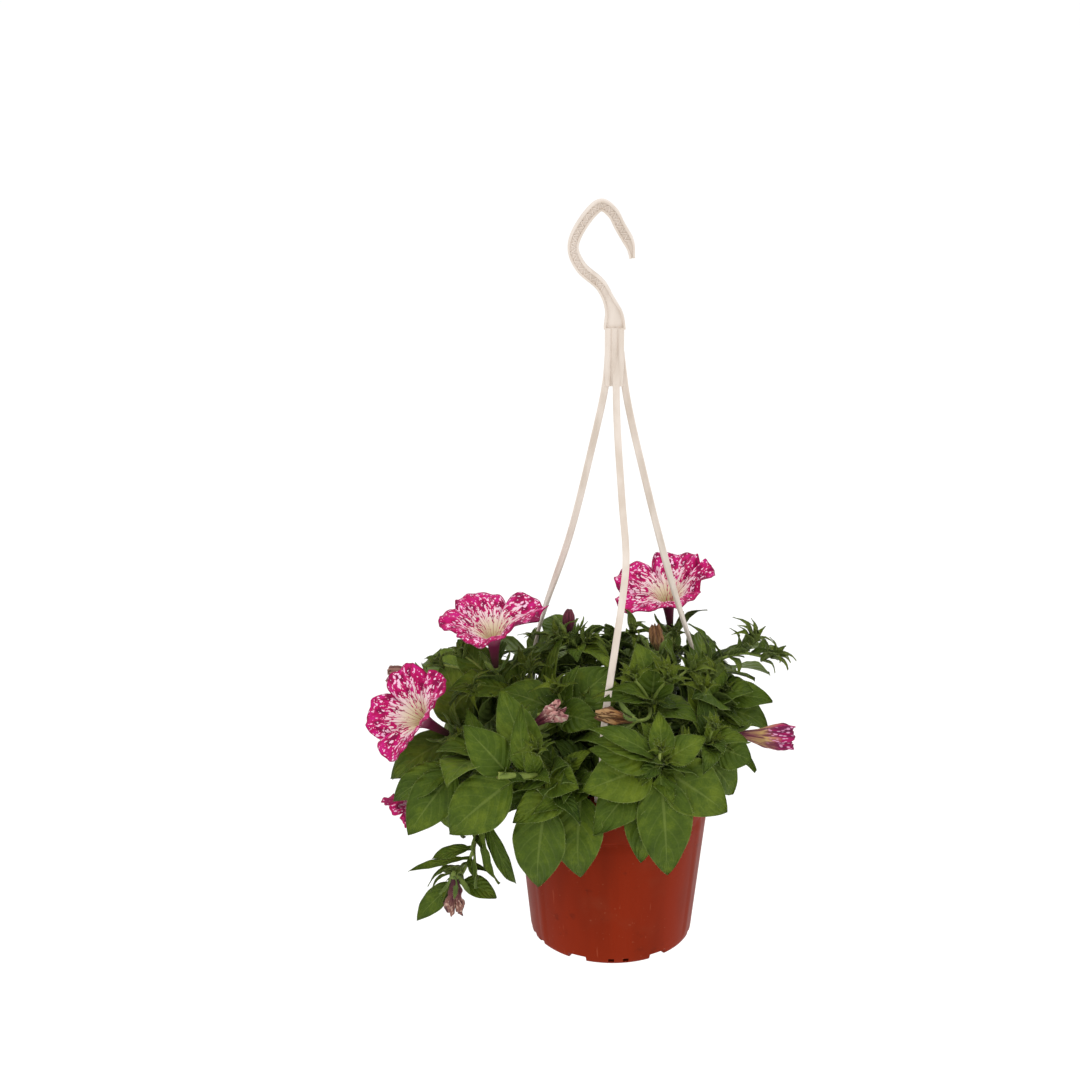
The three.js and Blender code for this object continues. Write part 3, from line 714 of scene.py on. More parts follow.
@dataclass(frozen=True)
class StemSkin:
    """Petunia stem and calyx: juicy, paler than the leaves and sticky with short hairs."""

    deep: str = "#4B5F26"
    light: str = "#7C8B3F"
    pale: str = "#B9B86A"
    sheen: str = "#DDE2BE"
    streak_mm: float = 3.846

    def material(self) -> Material:
        """Makes the material of stems, stalks and calyxes: the higher the tone, the paler.

        Returns:
            The material.
        """
        s = Shader(
            "petunia_stem_skin", Roughness=0.5, IOR=1.42, Specular_IOR_Level=0.25, Sheen_Weight=0.08,
            Sheen_Tint=self.sheen,
        )
        space = s.add("TexCoord").outputs["Object"]
        tone = s.add("Attribute", attribute_name="tone").outputs["Fac"]
        tall = s.add("Mapping", {"Vector": space, "Scale": (1.0, 1.0, 0.3)})
        streaks = s.add("TexNoise", {"Vector": tall, "Scale": 1000 / self.streak_mm})
        pallor = s.add("Math", {0: tone, 1: 0.6}, **TIMES)
        mood = s.add("Math", {0: streaks, 1: 0.5, 2: pallor}, **TIMES_PLUS)
        colour = s.add("ValToRGB", {0: mood}, ((0.25, self.deep), (0.6, self.light), (0.95, self.pale)))
        return s.done(colour, streaks, 0.0003, 0.5)


@dataclass(frozen=True)
class HairGloss:
    """Plant hairs: clear, so they catch the light and look almost white."""

    root: str = "#8E9C66"
    lit: str = "#C3CBA0"
    patch_mm: float = 8.333

    def material(self) -> Material:
        """Makes the hairs' material.

        Returns:
            The material.
        """
        s = Shader("petunia_hair", Roughness=0.35, IOR=1.4)
        space = s.add("TexCoord").outputs["Object"]
        shade = s.add("TexNoise", {"Vector": space, "Scale": 1000 / self.patch_mm})
        return s.done(s.add("ValToRGB", {0: shade}, ((0.3, self.root), (0.7, self.lit))))


@dataclass(frozen=True)
class SpeckledPetal:
    """Petunia petal: thin and velvety, crimson-magenta in a net round pale spots, cream towards the throat.

    It reads the bloom's own place: x and y the flattened petal, from -1 to 1 with finer steps inwards, and
    z the share of the way from the tube's foot to the rim. tone is 1 on the outer face and 0 on the inner.
    """

    net: str = "#B20A58"
    net_deep: str = "#800842"
    net_violet: str = "#BE1A74"
    spot: str = "#ECBED8"
    cream: str = "#D9CCAC"
    throat: str = "#C2B57E"
    outer: str = "#DFAEC8"
    net_outer: str = "#B00F5E"
    tube: str = "#4A2A2C"
    outer_stops: tuple[tuple[float, str], ...] = ((0.34, "#681C3C"), (0.5, "#A8667C"), (0.64, "#D4A8B8"))
    blush: str = "#E2CCCA"
    ray: str = "#98184E"
    unit_mm: float = 34.0
    spot_mm: float = 2.0
    blot_mm: float = 2.125
    patch_mm: float = 10.625

    def material(self) -> Material:
        """Makes the open blooms' material.

        Returns:
            The material.
        """
        s = Shader(
            "petunia_petal_velvet", Roughness=0.6, IOR=1.4, Specular_IOR_Level=0.15, Subsurface_Weight=0.05,
            Subsurface_Radius=(0.002, 0.001, 0.001),
        )
        own = s.add("SeparateXYZ", {0: s.add("Attribute", attribute_name="place").outputs["Vector"]})
        share = own.outputs[2]
        sheet = s.add("CombineXYZ", {0: own.outputs[0], 1: own.outputs[1]})
        wobble = s.add("TexNoise", {"Vector": sheet, "Scale": 7.0}).outputs["Color"]
        bent = s.add("VectorMath", {0: wobble, 1: (0.12, 0.12, 0.0), 2: sheet}, **TIMES_PLUS)
        spots = self.unit_mm / self.spot_mm
        cells = s.add("TexVoronoi", {"Vector": bent, "Scale": spots})
        small = s.add("Math", {0: s.add("TexVoronoi", {"Vector": bent, "Scale": 2 * spots}), 1: 0.12}, **PLUS)
        round_spots = s.add("Math", {0: cells, 1: small}, operation="MINIMUM")
        blots = s.add("TexNoise", {"Vector": bent, "Scale": self.unit_mm / self.blot_mm, "Detail": 1.0})
        between = s.add("Math", {0: round_spots, 1: -0.52}, **PLUS)
        net = s.add("Math", {0: blots, 1: 1.1, 2: between}, **TIMES_PLUS)
        # The spots run together inwards, so the net thins out and ends before the throat.
        inward = s.add("MapRange", {0: share, 1: 0.58, 2: 0.86, 3: 0.25, 4: -0.13})
        patchy = s.add("TexNoise", {"Vector": sheet, "Scale": self.unit_mm / self.patch_mm})
        line = s.add("Math", {0: patchy, 1: 0.75, 2: inward}, **TIMES_PLUS)
        edge = s.add("Math", {0: line, 1: 0.08}, **PLUS)
        magenta = s.add("MapRange", {0: net, 1: line, 2: edge}, **SMOOTH)
        tint = s.add("TexNoise", {"Vector": sheet, "Scale": 6.5, "Detail": 3.0})
        tint_stops = ((0.38, self.net_deep), (0.5, self.net), (0.64, self.net_violet))
        crimson = s.add("ValToRGB", {0: tint}, tint_stops)
        pale_stops = ((0.35, self.throat), (0.49, self.cream), (0.62, self.blush), (0.85, self.spot))
        pale = s.add("ValToRGB", {0: share}, pale_stops)
        colour = s.add("Mix", {0: magenta, 6: pale, 7: crimson}, **COLOUR)
        # Fine veins run out from the throat.
        way = s.add("VectorMath", {0: sheet}, operation="NORMALIZE")
        strands = s.add("TexNoise", {"Vector": way, "Scale": 21.0, "Detail": 1.0})
        rays = s.add("MapRange", {0: strands, 1: 0.56, 2: 0.64}, **SMOOTH)
        start = s.add("MapRange", {0: share, 1: 0.34, 2: 0.46, 4: 0.75}, **SMOOTH)
        stop = s.add("MapRange", {0: share, 1: 0.6, 2: 0.9, 3: 1.0, 4: 0.0}, **SMOOTH)
        reach = s.add("Math", {0: start, 1: stop}, **TIMES)
        veined = s.add("Math", {0: rays, 1: reach}, **TIMES)
        colour = s.add("Mix", {0: veined, 6: colour, 7: self.ray}, **COLOUR)
        stops = ((0.1, self.tube), *self.outer_stops, (0.85, self.outer))
        outside = s.add("ValToRGB", {0: share}, stops)
        low_edge = s.add("Math", {0: line, 1: -0.08}, **PLUS)
        seen_through = s.add("MapRange", {0: net, 1: low_edge, 2: edge, 4: 0.92})
        beyond_tube = s.add("MapRange", {0: share, 1: 0.44, 2: 0.6}, **SMOOTH)
        seen_through = s.add("Math", {0: seen_through, 1: beyond_tube}, **TIMES)
        outside = s.add("Mix", {0: seen_through, 6: outside, 7: self.net_outer}, **COLOUR)
        outside = s.add("Mix", {0: veined, 6: outside, 7: self.net_outer}, **COLOUR)
        outer = s.add("Attribute", attribute_name="tone").outputs["Fac"]
        colour = s.add("Mix", {0: outer, 6: colour, 7: outside}, **COLOUR)
        margin = s.add("MapRange", {0: share, 1: 0.975, 2: 1.0, 4: 0.7})
        colour = s.add("Mix", {0: margin, 6: colour, 7: self.net_deep}, **COLOUR)
        creases = s.add("TexNoise", {"Vector": way, "Scale": 15.0, "Detail": 1.0})
        relief = s.add("Math", {0: cells, 1: 0.4, 2: creases}, **TIMES_PLUS)
        return s.done(colour, relief, 0.0006, 0.55)


@dataclass(frozen=True)
class WitheredPetal:
    """A withered or folded petunia bloom: dry and papery, creased along its length."""

    name: str
    tube: str
    middle: str
    end: str
    crease: str
    speckle: str = ""
    creased: float = 0.5

    def material(self) -> Material:
        """Makes the material of one such bloom. Its place is x and y round it and z along it.

        Returns:
            The material.
        """
        s = Shader(self.name, Roughness=0.75, IOR=1.4, Specular_IOR_Level=0.2, Sheen_Weight=0.05)
        flat = s.add("Attribute", attribute_name="place").outputs["Vector"]
        along = s.add("SeparateXYZ", {0: flat}).outputs[2]
        blotch = s.add("TexNoise", {"Vector": flat, "Scale": 2.6, "Detail": 3.0})
        share = s.add("Math", {0: blotch, 1: 0.5, 2: along}, **TIMES_PLUS)
        stops = ((0.37, self.tube), (0.75, self.middle), (1.0, self.end))
        colour = s.add("ValToRGB", {0: share}, stops)
        lengthwise = s.add("Mapping", {"Vector": flat, "Scale": (1.0, 1.0, 0.35)})
        creases = s.add("TexNoise", {"Vector": lengthwise, "Scale": 5.5, "Detail": 3.0, "Roughness": 0.6})
        colour = s.laid(colour, creases, self.creased, self.creased + 0.1, self.crease, 0.85)
        if self.speckle:
            even = s.add("Mapping", {"Vector": flat, "Scale": (1.0, 1.0, 1.9)})
            spots = s.add("TexVoronoi", {"Vector": even, "Scale": 5.4})
            spots = s.add("MapRange", {0: spots, 1: 0.26, 2: 0.42, 3: 1.0, 4: 0.0}, **SMOOTH)
            zone = s.add("MapRange", {0: along, 1: 0.5, 2: 0.66}, **SMOOTH)
            spotted = s.add("Math", {0: spots, 1: zone}, **TIMES)
            colour = s.add("Mix", {0: spotted, 6: colour, 7: self.speckle}, **COLOUR)
        return s.done(colour, creases, 0.0014, 0.9)


# ---- Pot, soil and hanger ----
@dataclass
class Pot:
    """The moulded pot: a tapered wall with a thicker collar, a rolled lip, six feet and three lugs."""

    rim_radius: float = 70.0
    base_radius: float = 56.0
    height: float = 136.0
    wall: float = 1.6
    collar_height: float = 36.0
    collar_step: float = 1.2
    lip_width: float = 3.2
    lip_height: float = 2.4
    floor: float = 5.0
    chamfer: float = 3.0
    foot_count: int = 6
    foot_width: float = 3.4
    gap_degrees: float = 14.0
    gap_height: float = 4.6
    turn: float = 4.0
    drain_reach: float = 34.0
    drain_radius: float = 4.5
    band_degrees: float = 8.0
    band_relief: float = 0.5
    lug_azimuths: tuple[float, ...] = (-7.0, 113.0, -127.0)
    lug_width: float = 13.0
    lug_reach: float = 7.6
    lug_height: float = 3.0
    slot_width: float = 5.2
    slot_depth: float = 3.0
    nick_azimuths: tuple[float, ...] = (-72.0, -60.0, 74.0)
    nick_width: float = 6.4
    nick_height: float = 3.7
    nick_depth: float = 15.0
    notch_depth: float = 16.0
    drain_cut: float = 12.0
    mark_size: Point = (4.0, 12.0, 2.6)
    mark_reach: float = 5.0
    mark_height: float = 3.4
    slot_offset: float = 2.6
    sides: int = 180
    finish: PotPlastic = field(default_factory=PotPlastic)

    def wall_radius(self, height: float) -> float:
        """The outer radius of the tapered wall at a height."""
        return self.base_radius + (self.rim_radius - self.base_radius) * height / self.height

    @property
    def lug_slot_reach(self) -> float:
        """How far from the axis the straps pass through the lugs."""
        return self.rim_radius + self.lip_width + self.slot_offset

    def outline(self) -> list[tuple[float, float]]:
        """Draws the section of the pot.

        Returns:
            Its points as (radius, height), from the middle of the underside to the middle of the floor.
        """
        collar, lip = self.height - self.collar_height, self.height - self.lip_height
        foot = self.base_radius - self.chamfer
        outer = self.rim_radius + self.lip_width
        wall = [(self.wall_radius(z), z) for z in np.arange(self.chamfer, collar - 2, 3.2)]
        step = self.wall_radius(collar) - self.collar_step
        under = [(0.0, self.floor), (foot - self.foot_width - 3, self.floor), (foot - self.foot_width, 0.4)]
        base = [(foot - self.foot_width + 0.5, 0.0), (foot, 0.0), (foot + 1.7, 0.5), (foot + 2.9, 1.6)]
        # The wall steps out to the collar, which runs up to the lip.
        rise = [(step + 0.1, collar - 1.4), (step + 0.5, collar - 0.7), (self.wall_radius(collar), collar)]
        band = [(self.wall_radius(z), z) for z in (collar + 10, collar + 20, collar + 30, lip - 0.5)]
        roll = [(self.rim_radius + 0.7, lip), (outer - 0.6, lip)]
        roll += [(outer, lip + 0.6), (outer, self.height - 0.7)]
        top = [(outer - 0.7, self.height), (self.rim_radius - self.wall + 0.6, self.height)]
        inside = self.floor + self.wall
        foot_inside = self.wall_radius(inside) - self.wall - 2
        inner = [(self.rim_radius - self.wall, self.height - 0.6), (foot_inside, inside)]
        narrowed = [(min(r, step + 0.2), z) if z > collar - 6 else (r, z) for r, z in wall]
        return [*under, *base, *narrowed, *rise, *band, *roll, *top, *inner, (0.0, inside)]

    def shell(self) -> Object:
        """Spins the section round the axis and raises the six upright bands from the wall.

        Returns:
            The pot without its cuts and lugs.
        """
        mesh = bpy.data.meshes.new("pot_shell")
        points = [(r / 1000, 0.0, z / 1000) for r, z in self.outline()]
        mesh.from_pydata(points, [(i, i + 1) for i in range(len(points) - 1)], [])
        made = placed("pot_shell", mesh)
        in_edit_mode(
            made,
            lambda: bpy.ops.mesh.spin(steps=self.sides, angle=2 * math.pi, center=(0, 0, 0), axis=(0, 0, 1)),
            lambda: bpy.ops.mesh.select_all(action="SELECT"),
            lambda: bpy.ops.mesh.remove_doubles(threshold=1e-6),
            lambda: bpy.ops.mesh.normals_make_consistent(inside=False),
        )
        collar = self.height - self.collar_height
        for vertex in made.data.vertices:
            x, y, z = (c * 1000 for c in vertex.co)
            reach = math.hypot(x, y)
            if reach < self.wall_radius(z) - 1.3 or not self.chamfer < z < collar - 1:
                continue
            azimuth = math.degrees(math.atan2(x, -y)) - self.turn
            off = abs((azimuth + 30) % 60 - 30)
            half = self.band_degrees / 2 * (0.8 + 0.2 * z / collar)
            raised = 1 - smoothstep(off, half - 1.2, half + 0.6)
            raised *= smoothstep(z, self.chamfer, self.chamfer + 6)
            out = 1 + self.band_relief * raised / reach
            vertex.co.x *= out
            vertex.co.y *= out
        return made

    def block(self, size: Point, centre: Array, azimuth: float) -> Object:
        """A block turned to face an azimuth.

        Args:
            size: Its width, depth and height.
            centre: Its middle.
            azimuth: The way that it faces, in degrees.

        Returns:
            The new block.
        """
        made = primitive(
            bpy.ops.mesh.primitive_cube_add,
            size=1,
            location=tuple(centre / 1000),
            rotation=(0, 0, math.radians(azimuth)),
            scale=tuple(s / 1000 for s in size),
        )
        bpy.ops.object.transform_apply(location=False, rotation=False, scale=True)
        return made

    def cut(self, piece: Object, cutters: Sequence[Object]) -> None:
        """Takes cutters out of a piece and removes them.

        Args:
            piece: The object to cut.
            cutters: The closed objects that are taken out of it.
        """
        cutter = joined(cutters, "cutter")
        with_modifier(piece, "BOOLEAN", operation="DIFFERENCE", object=cutter, solver="EXACT")
        bpy.data.objects.remove(cutter)
        if not piece.data.polygons:
            raise RuntimeError(f"nothing is left of {piece.name} after a cut")
        in_order(piece.data)

    def underside(self, shell: Object) -> None:
        """Cuts the gaps between the feet, the drain holes, two slots in the front foot and three nicks.

        Args:
            shell: The pot.
        """
        pitch = 360 / self.foot_count
        gap = 2 * self.base_radius * math.sin(math.radians(self.gap_degrees / 2))
        cutters = []
        for i in range(self.foot_count):
            azimuth = self.turn + pitch * (i + 0.5)
            size = (gap, self.notch_depth, 2 * self.gap_height)
            notch = self.block(size, around(azimuth, self.base_radius - 4, 0), azimuth)
            cutters.append(with_modifier(notch, "BEVEL", width=0.0009, segments=3))
            hole = primitive(
                bpy.ops.mesh.primitive_cylinder_add,
                vertices=24,
                radius=self.drain_radius / 1000,
                depth=self.drain_cut / 1000,
                location=tuple(around(self.turn + pitch * i, self.drain_reach, self.floor) / 1000),
            )
            cutters.append(hole)
        for side in (-1, 1):
            azimuth = self.turn + side * math.degrees(self.mark_reach / self.base_radius)
            centre = around(azimuth, self.base_radius, self.mark_height)
            cutters.append(self.block(self.mark_size, centre, azimuth))
        self.cut(shell, cutters)
        # A nick is cut alone, because one boolean with them all leaves an empty mesh.
        for azimuth in self.nick_azimuths:
            size = (self.nick_width, self.nick_depth, 2 * self.nick_height)
            self.cut(shell, [self.block(size, around(azimuth, self.base_radius - 1, 0), azimuth)])

    def lug(self, azimuth: float) -> Object:
        """Makes a lug at the rim, with the slot that a strap's end clips through.

        Args:
            azimuth: Where it stands, in degrees.

        Returns:
            The lug.
        """
        middle = self.rim_radius + self.lip_width + self.lug_reach / 2 - 1
        centre = around(azimuth, middle, self.height - self.lug_height / 2)
        made = self.block((self.lug_width, self.lug_reach + 2, self.lug_height), centre, azimuth)
        with_modifier(made, "BEVEL", width=0.0007, segments=3)
        place = around(azimuth, self.lug_slot_reach, self.height)
        self.cut(made, [self.block((self.slot_width, self.slot_depth, 20.0), place, azimuth)])
        return made

    def build(self) -> None:
        """Makes the pot and dresses it."""
        shell = self.shell()
        self.underside(shell)
        made = joined([shell, *(self.lug(azimuth) for azimuth in self.lug_azimuths)], "moulded_pot")
        made.data.transform(Matrix.Translation(to_row((0, 0, 0))))
        bpy.ops.object.shade_smooth_by_angle(angle=math.radians(32))
        made.data.materials.clear()
        made.data.materials.append(self.finish.material())
        settle(made, ["pot"])


@dataclass
class Soil:
    """Potting soil heaped a little in the middle, with loose crumbs and perlite on top."""

    top: float = 119.0
    crown: float = 6.0
    radius: float = 66.0
    depth: float = 40.0
    crumbs: int = 420
    perlite_every: int = 9
    sides: int = 96
    seed: int = 7

    def lift(self, x: Array, y: Array) -> Array:
        """Reads the rough surface.

        Args:
            x: Places to the right.
            y: Places to the back.

        Returns:
            The height of the soil there.
        """
        reach = np.hypot(x, y) / self.radius
        rough = np.sin(x * 0.41 + 1.3 * np.sin(y * 0.23)) + np.sin(y * 0.53 + 1.1 * np.sin(x * 0.31))
        fine = np.sin(x * 1.7 + y * 0.9) * np.sin(y * 1.9 - x * 0.6)
        return self.top + self.crown * (1 - reach**2) + 0.8 * rough * (1 - reach**6) + 0.4 * fine

    def mound(self) -> Solid:
        """Heaps the soil.

        Returns:
            The heap, closed underneath.
        """
        angles = turns(self.sides)
        foot = np.full(self.sides, self.top - self.depth)
        rings = [
            np.stack([reach * np.cos(angles), reach * np.sin(angles), foot], 1)
            for reach in (2.0, self.radius - 4)
        ]
        for reach in np.linspace(1, 0.02, 34) * self.radius:
            x, y = reach * np.cos(angles), reach * np.sin(angles)
            rings.append(np.stack([x, y, self.lift(x, y)], 1))
        return loft(np.array(rings))

    def build(self) -> None:
        """Makes the soil and its crumbs."""
        shapes = Shapes()
        shapes.add(self.mound())
        ball = primitive(bpy.ops.mesh.primitive_ico_sphere_add, subdivisions=1, radius=1)
        points = np.array([vertex.co for vertex in ball.data.vertices])
        faces = [tuple(polygon.vertices) for polygon in ball.data.polygons]
        bpy.data.objects.remove(ball)
        draw = draws(self.seed)
        for i in range(self.crumbs):
            reach, angle = self.radius * 0.97 * math.sqrt(draw()), 2 * math.pi * draw()
            x, y = reach * math.cos(angle), reach * math.sin(angle)
            size = 0.7 + 1.7 * draw() ** 2
            squash = np.array([0.7 + 0.6 * draw(), 0.7 + 0.6 * draw(), 0.5 + 0.5 * draw()])
            centre = np.array([x, y, float(self.lift(np.array(x), np.array(y))) + size * 0.2])
            shapes.add((points * squash * size + centre, faces), finish=int(i % self.perlite_every == 0))
        piece = shapes.piece("heaped_soil", [PottingSoil().material(), Perlite().material()])
        settle(piece, ["soil"])


@dataclass
class Hanger:
    """The moulded hanger: a hook of two flanges and a web, the shank where the straps join, and the straps.

    A strap is its lug's azimuth and its path down from the shank.
    """

    hook_line: tuple[tuple[float, float], ...] = (
        (-3.7, 440), (-3.8, 451), (-10.5, 468), (-24, 481), (-29, 494), (-23, 509.5),
        (-11.4, 521.5), (-4, 516.5), (0.5, 508), (7.2, 495.5), (8.7, 487),
    )
    bar: float = 7.0
    flange: float = 1.4
    flange_depth: float = 6.0
    web: float = 2.4
    tip: float = 3.8
    shoulder: float = 14.0
    shank_width: float = 12.5
    shank_depth: float = 7.0
    shank_low: float = 404.0
    strap_width: float = 4.6
    strap_thickness: float = 2.4
    head_width: float = 9.5
    head_height: float = 2.2
    plate_height: float = 13.0
    gap: float = 0.3
    rib_pitch: float = 0.019
    rib_span: tuple[float, float] = (0.2, 0.94)
    rib_radius: float = 0.55
    rib_offset: float = 1.45
    shoulder_share: float = 0.17
    tip_share: float = 0.9
    hook_shift: float = 1.7
    grooves: tuple[float, ...] = (-2.1, 2.1)
    groove_width: float = 0.7
    straps: tuple[tuple[float, Rows], ...] = (
        (-7, (
            (-1, -1, 424), (0, -6, 380), (3.3, -25, 331), (5.9, -42, 296), (3.5, -52, 272), (-1.2, -62, 241),
            (-7.8, -72, 192),
        )),
        (113, (
            (2.2, 0.5, 424), (6.7, 3, 391), (19.5, 9, 333), (33.4, 16, 276), (45.3, 21, 233), (56, 25, 198),
        )),
        (-127, (
            (-5.8, 0.5, 424), (-7.4, 1, 402), (-17, 8, 350), (-30, 18, 289), (-46.6, 31, 230), (-52, 37, 206),
        )),
    )
    finish: HangerPlastic = field(default_factory=HangerPlastic)
    pot: Pot = field(default_factory=Pot)

    def strap_line(self, azimuth: float, path: Sequence[Sequence[float]]) -> Line:
        """A strap's middle, from the shank to the plate on its lug."""
        foot = around(azimuth, self.pot.lug_slot_reach, self.pot.height + self.plate_height - 1)
        return Line([*path, foot])

    @staticmethod
    def softened(corners: Sequence[tuple[float, float]], size: float) -> list[tuple[float, float]]:
        """An outline with each corner cut by a small chamfer.

        Args:
            corners: The sharp outline.
            size: How far along each edge the chamfer starts.

        Returns:
            The softened outline, with two points for each corner.
        """
        made = []
        for i, corner in enumerate(np.array(corners, float)):
            for other in (corners[i - 1], corners[(i + 1) % len(corners)]):
                edge = np.array(other) - corner
                made.append(tuple(corner + edge * min(0.45, size / np.linalg.norm(edge))))
        return made

    def hook(self, shapes: Shapes) -> None:
        """Adds the hook with its zigzag ribs between the flanges.

        Args:
            shapes: The hanger's shapes.
        """
        line = Line([(x, 0.0, z) for x, z in self.hook_line])

        def place(share: float, inward: float, y: float) -> Array:
            """A point beside the hook's middle line, by how far inwards and how far back it lies."""
            x, _, z = line.along(share)
            return line.at(share) + np.array([z, 0.0, -x]) * inward + np.array([0.0, y, 0.0])

        def half(share: float) -> float:
            """Half the bar's width: wide at the shoulder, narrow at the tip."""
            shoulder = (self.shoulder - self.bar) * (1 - smoothstep(share, 0.0, self.shoulder_share))
            return (self.bar + shoulder - (self.bar - self.tip) * smoothstep(share, self.tip_share, 1.0)) / 2

        rings = []
        for share in np.linspace(0, 1, 150):
            h, f = half(share), self.flange
            y = self.flange_depth / 2 * (1 - 0.25 * smoothstep(share, self.tip_share, 1.0))
            w = self.web / 2
            shift = self.hook_shift * (1 - smoothstep(share, 0.0, self.shoulder_share))
            outline = [(-h, -y), (f - h, -y), (f - h, -w), (h - f, -w), (h - f, -y), (h, -y)]
            outline += [(-a, -b) for a, b in outline]
            rings.append([place(share, a + shift, b) for a, b in self.softened(outline, 0.35)])
        shapes.add(loft(np.array(rings)))
        shares = np.arange(*self.rib_span, self.rib_pitch)
        for k, (a, b) in enumerate(zip(shares, shares[1:])):
            inner = self.bar / 2 - self.flange + 0.2
            low, high = (inner, -inner) if k % 2 else (-inner, inner)
            for y in (-self.rib_offset, self.rib_offset):
                ends = np.array([place(a, low, y), place((a + b) / 2, 0, y), place(b, high, y)])
                shapes.add(tube(ends, np.full(3, self.rib_radius), 6))

    def shank(self, shapes: Shapes) -> None:
        """Adds the flat shank under the hook, grooved where the three straps lie side by side.

        Args:
            shapes: The hanger's shapes.
        """
        angles = turns(64)
        rings = []
        for z in np.linspace(self.shank_low - 3, 441, 16):
            closing = smoothstep(z, self.shank_low - 3, self.shank_low + 8)
            x, y = (
                np.sign(way) * np.abs(way) ** 0.45 * size / 2
                for way, size in ((np.cos(angles), self.shank_width), (np.sin(angles), self.shank_depth))
            )
            hollow = sum(np.exp(-(((x - groove) / self.groove_width) ** 2)) for groove in self.grooves)
            y *= (1 - 0.42 * hollow) * (0.45 + 0.55 * closing)
            rings.append(np.stack([x * (0.9 + 0.1 * closing) - 2, y, np.full(64, z)], 1))
        shapes.add(loft(np.array(rings)))

    def strap(self, shapes: Shapes, azimuth: float, path: Sequence[Sequence[float]]) -> None:
        """Adds one flat strap that turns to face outwards at its lug.

        Args:
            shapes: The hanger's shapes.
            azimuth: Where its lug is, in degrees.
            path: The points that it runs through.
        """
        line = self.strap_line(azimuth, path)
        w, t = self.strap_width / 2, self.strap_thickness / 2
        corners = [(-w, -t), (0, -t + 0.3), (w, -t), (w, t), (0, t - 0.3), (-w, t)]
        rings = []
        for share in np.linspace(0, 1, 80):
            turn = math.radians(azimuth) * smoothstep(share, 0.35, 1)
            along = line.along(share)
            thin = unit(np.cross(along, (math.cos(turn), math.sin(turn), 0.0)))
            wide = np.cross(thin, along)
            rings.append([line.at(share) + wide * a + thin * b for a, b in self.softened(corners, 0.6)])
        shapes.add(loft(np.array(rings)))

    def clip(self, azimuth: float) -> Object:
        """Makes a strap's end: the plate on the lug, the shank through its slot and the head under it.

        Args:
            azimuth: Where its lug is, in degrees.

        Returns:
            The strap's end.
        """
        pot, reach = self.pot, self.pot.lug_slot_reach
        top = pot.height + self.gap + self.plate_height
        head = pot.height - pot.lug_height - self.gap
        blocks = []
        for width, low, high in (
            (self.head_width, pot.height + self.gap, top),
            (self.strap_width, head - 1, top - 2),
            (self.head_width, head - self.head_height, head),
        ):
            size = (width, self.strap_thickness, high - low)
            block = pot.block(size, around(azimuth, reach, (low + high) / 2), azimuth)
            blocks.append(with_modifier(block, "BEVEL", width=0.0005, segments=2))
        made = joined(blocks, "strap_clip")
        made.data.transform(Matrix.Translation(to_row((0, 0, 0))))
        return made

    def build(self) -> None:
        """Makes the hanger and dresses it."""
        shapes = Shapes()
        self.hook(shapes)
        self.shank(shapes)
        for azimuth, path in self.straps:
            self.strap(shapes, azimuth, path)
        plastic = self.finish.material()
        body = shapes.piece("hanger_body", [plastic])
        clips = [self.clip(azimuth) for azimuth, _ in self.straps]
        for clip in clips:
            clip.data.materials.append(plastic)
        made = joined([body, *clips], "moulded_hanger")
        bpy.ops.object.shade_smooth_by_angle(angle=math.radians(35))
        settle(made, ["hanger"])


# ---- Plant ----
class Outline(Enum):
    """The outlines that leaves and leaf-like parts have."""

    OVATE = "a broad leaf with a point"
    LANCE = "a narrow young leaf"
    STRAP = "a sepal, as wide near its end as in its middle"


def outline_width(form: Outline, s: Array) -> Array:
    """Finds how wide an outline is.

    Args:
        form: The outline.
        s: Shares of its length.

    Returns:
        The share of its full width that it has there.
    """
    if form is Outline.OVATE:
        t = np.clip((np.minimum(s, 0.87) - 0.1) / 0.9, 0, 1)
        return np.sin(np.pi * t**0.72) ** 0.85 * np.clip((1 - s) / 0.13, 0, 1) ** 0.8
    if form is Outline.LANCE:
        return 0.35 * (1 - s) + 0.95 * np.sin(np.pi * s**0.8) ** 1.1
    return 0.5 * (1 - s) ** 0.5 + np.sin(np.pi * s**1.5) ** 0.8 * 0.75


class Sheet:
    """A flat closed sheet, modelled once and bent into every leaf.

    Its points have x across from -1 to 1, y along from 0 to 1, and z -1 on the lower and 1 on the upper face.
    """

    def __init__(self, across: int, along: int) -> None:
        """Models the sheet.

        Args:
            across: How many cells it has from side to side.
            along: How many it has from end to end.
        """
        make = bpy.ops.mesh.primitive_grid_add
        made = primitive(make, x_subdivisions=across, y_subdivisions=along, size=2)
        in_edit_mode(
            made,
            lambda: bpy.ops.transform.resize(value=(1, 0.5, 1)),
            lambda: bpy.ops.transform.translate(value=(0, 0.5, 0)),
        )
        with_modifier(made, "SOLIDIFY", thickness=0.02, offset=0)
        self.x, self.s, z = np.array([vertex.co for vertex in made.data.vertices]).T
        self.z = np.sign(z)
        self.faces = [tuple(polygon.vertices) for polygon in made.data.polygons]
        self.place = np.stack([self.x, self.s, self.z], 1)
        bpy.data.objects.remove(made)


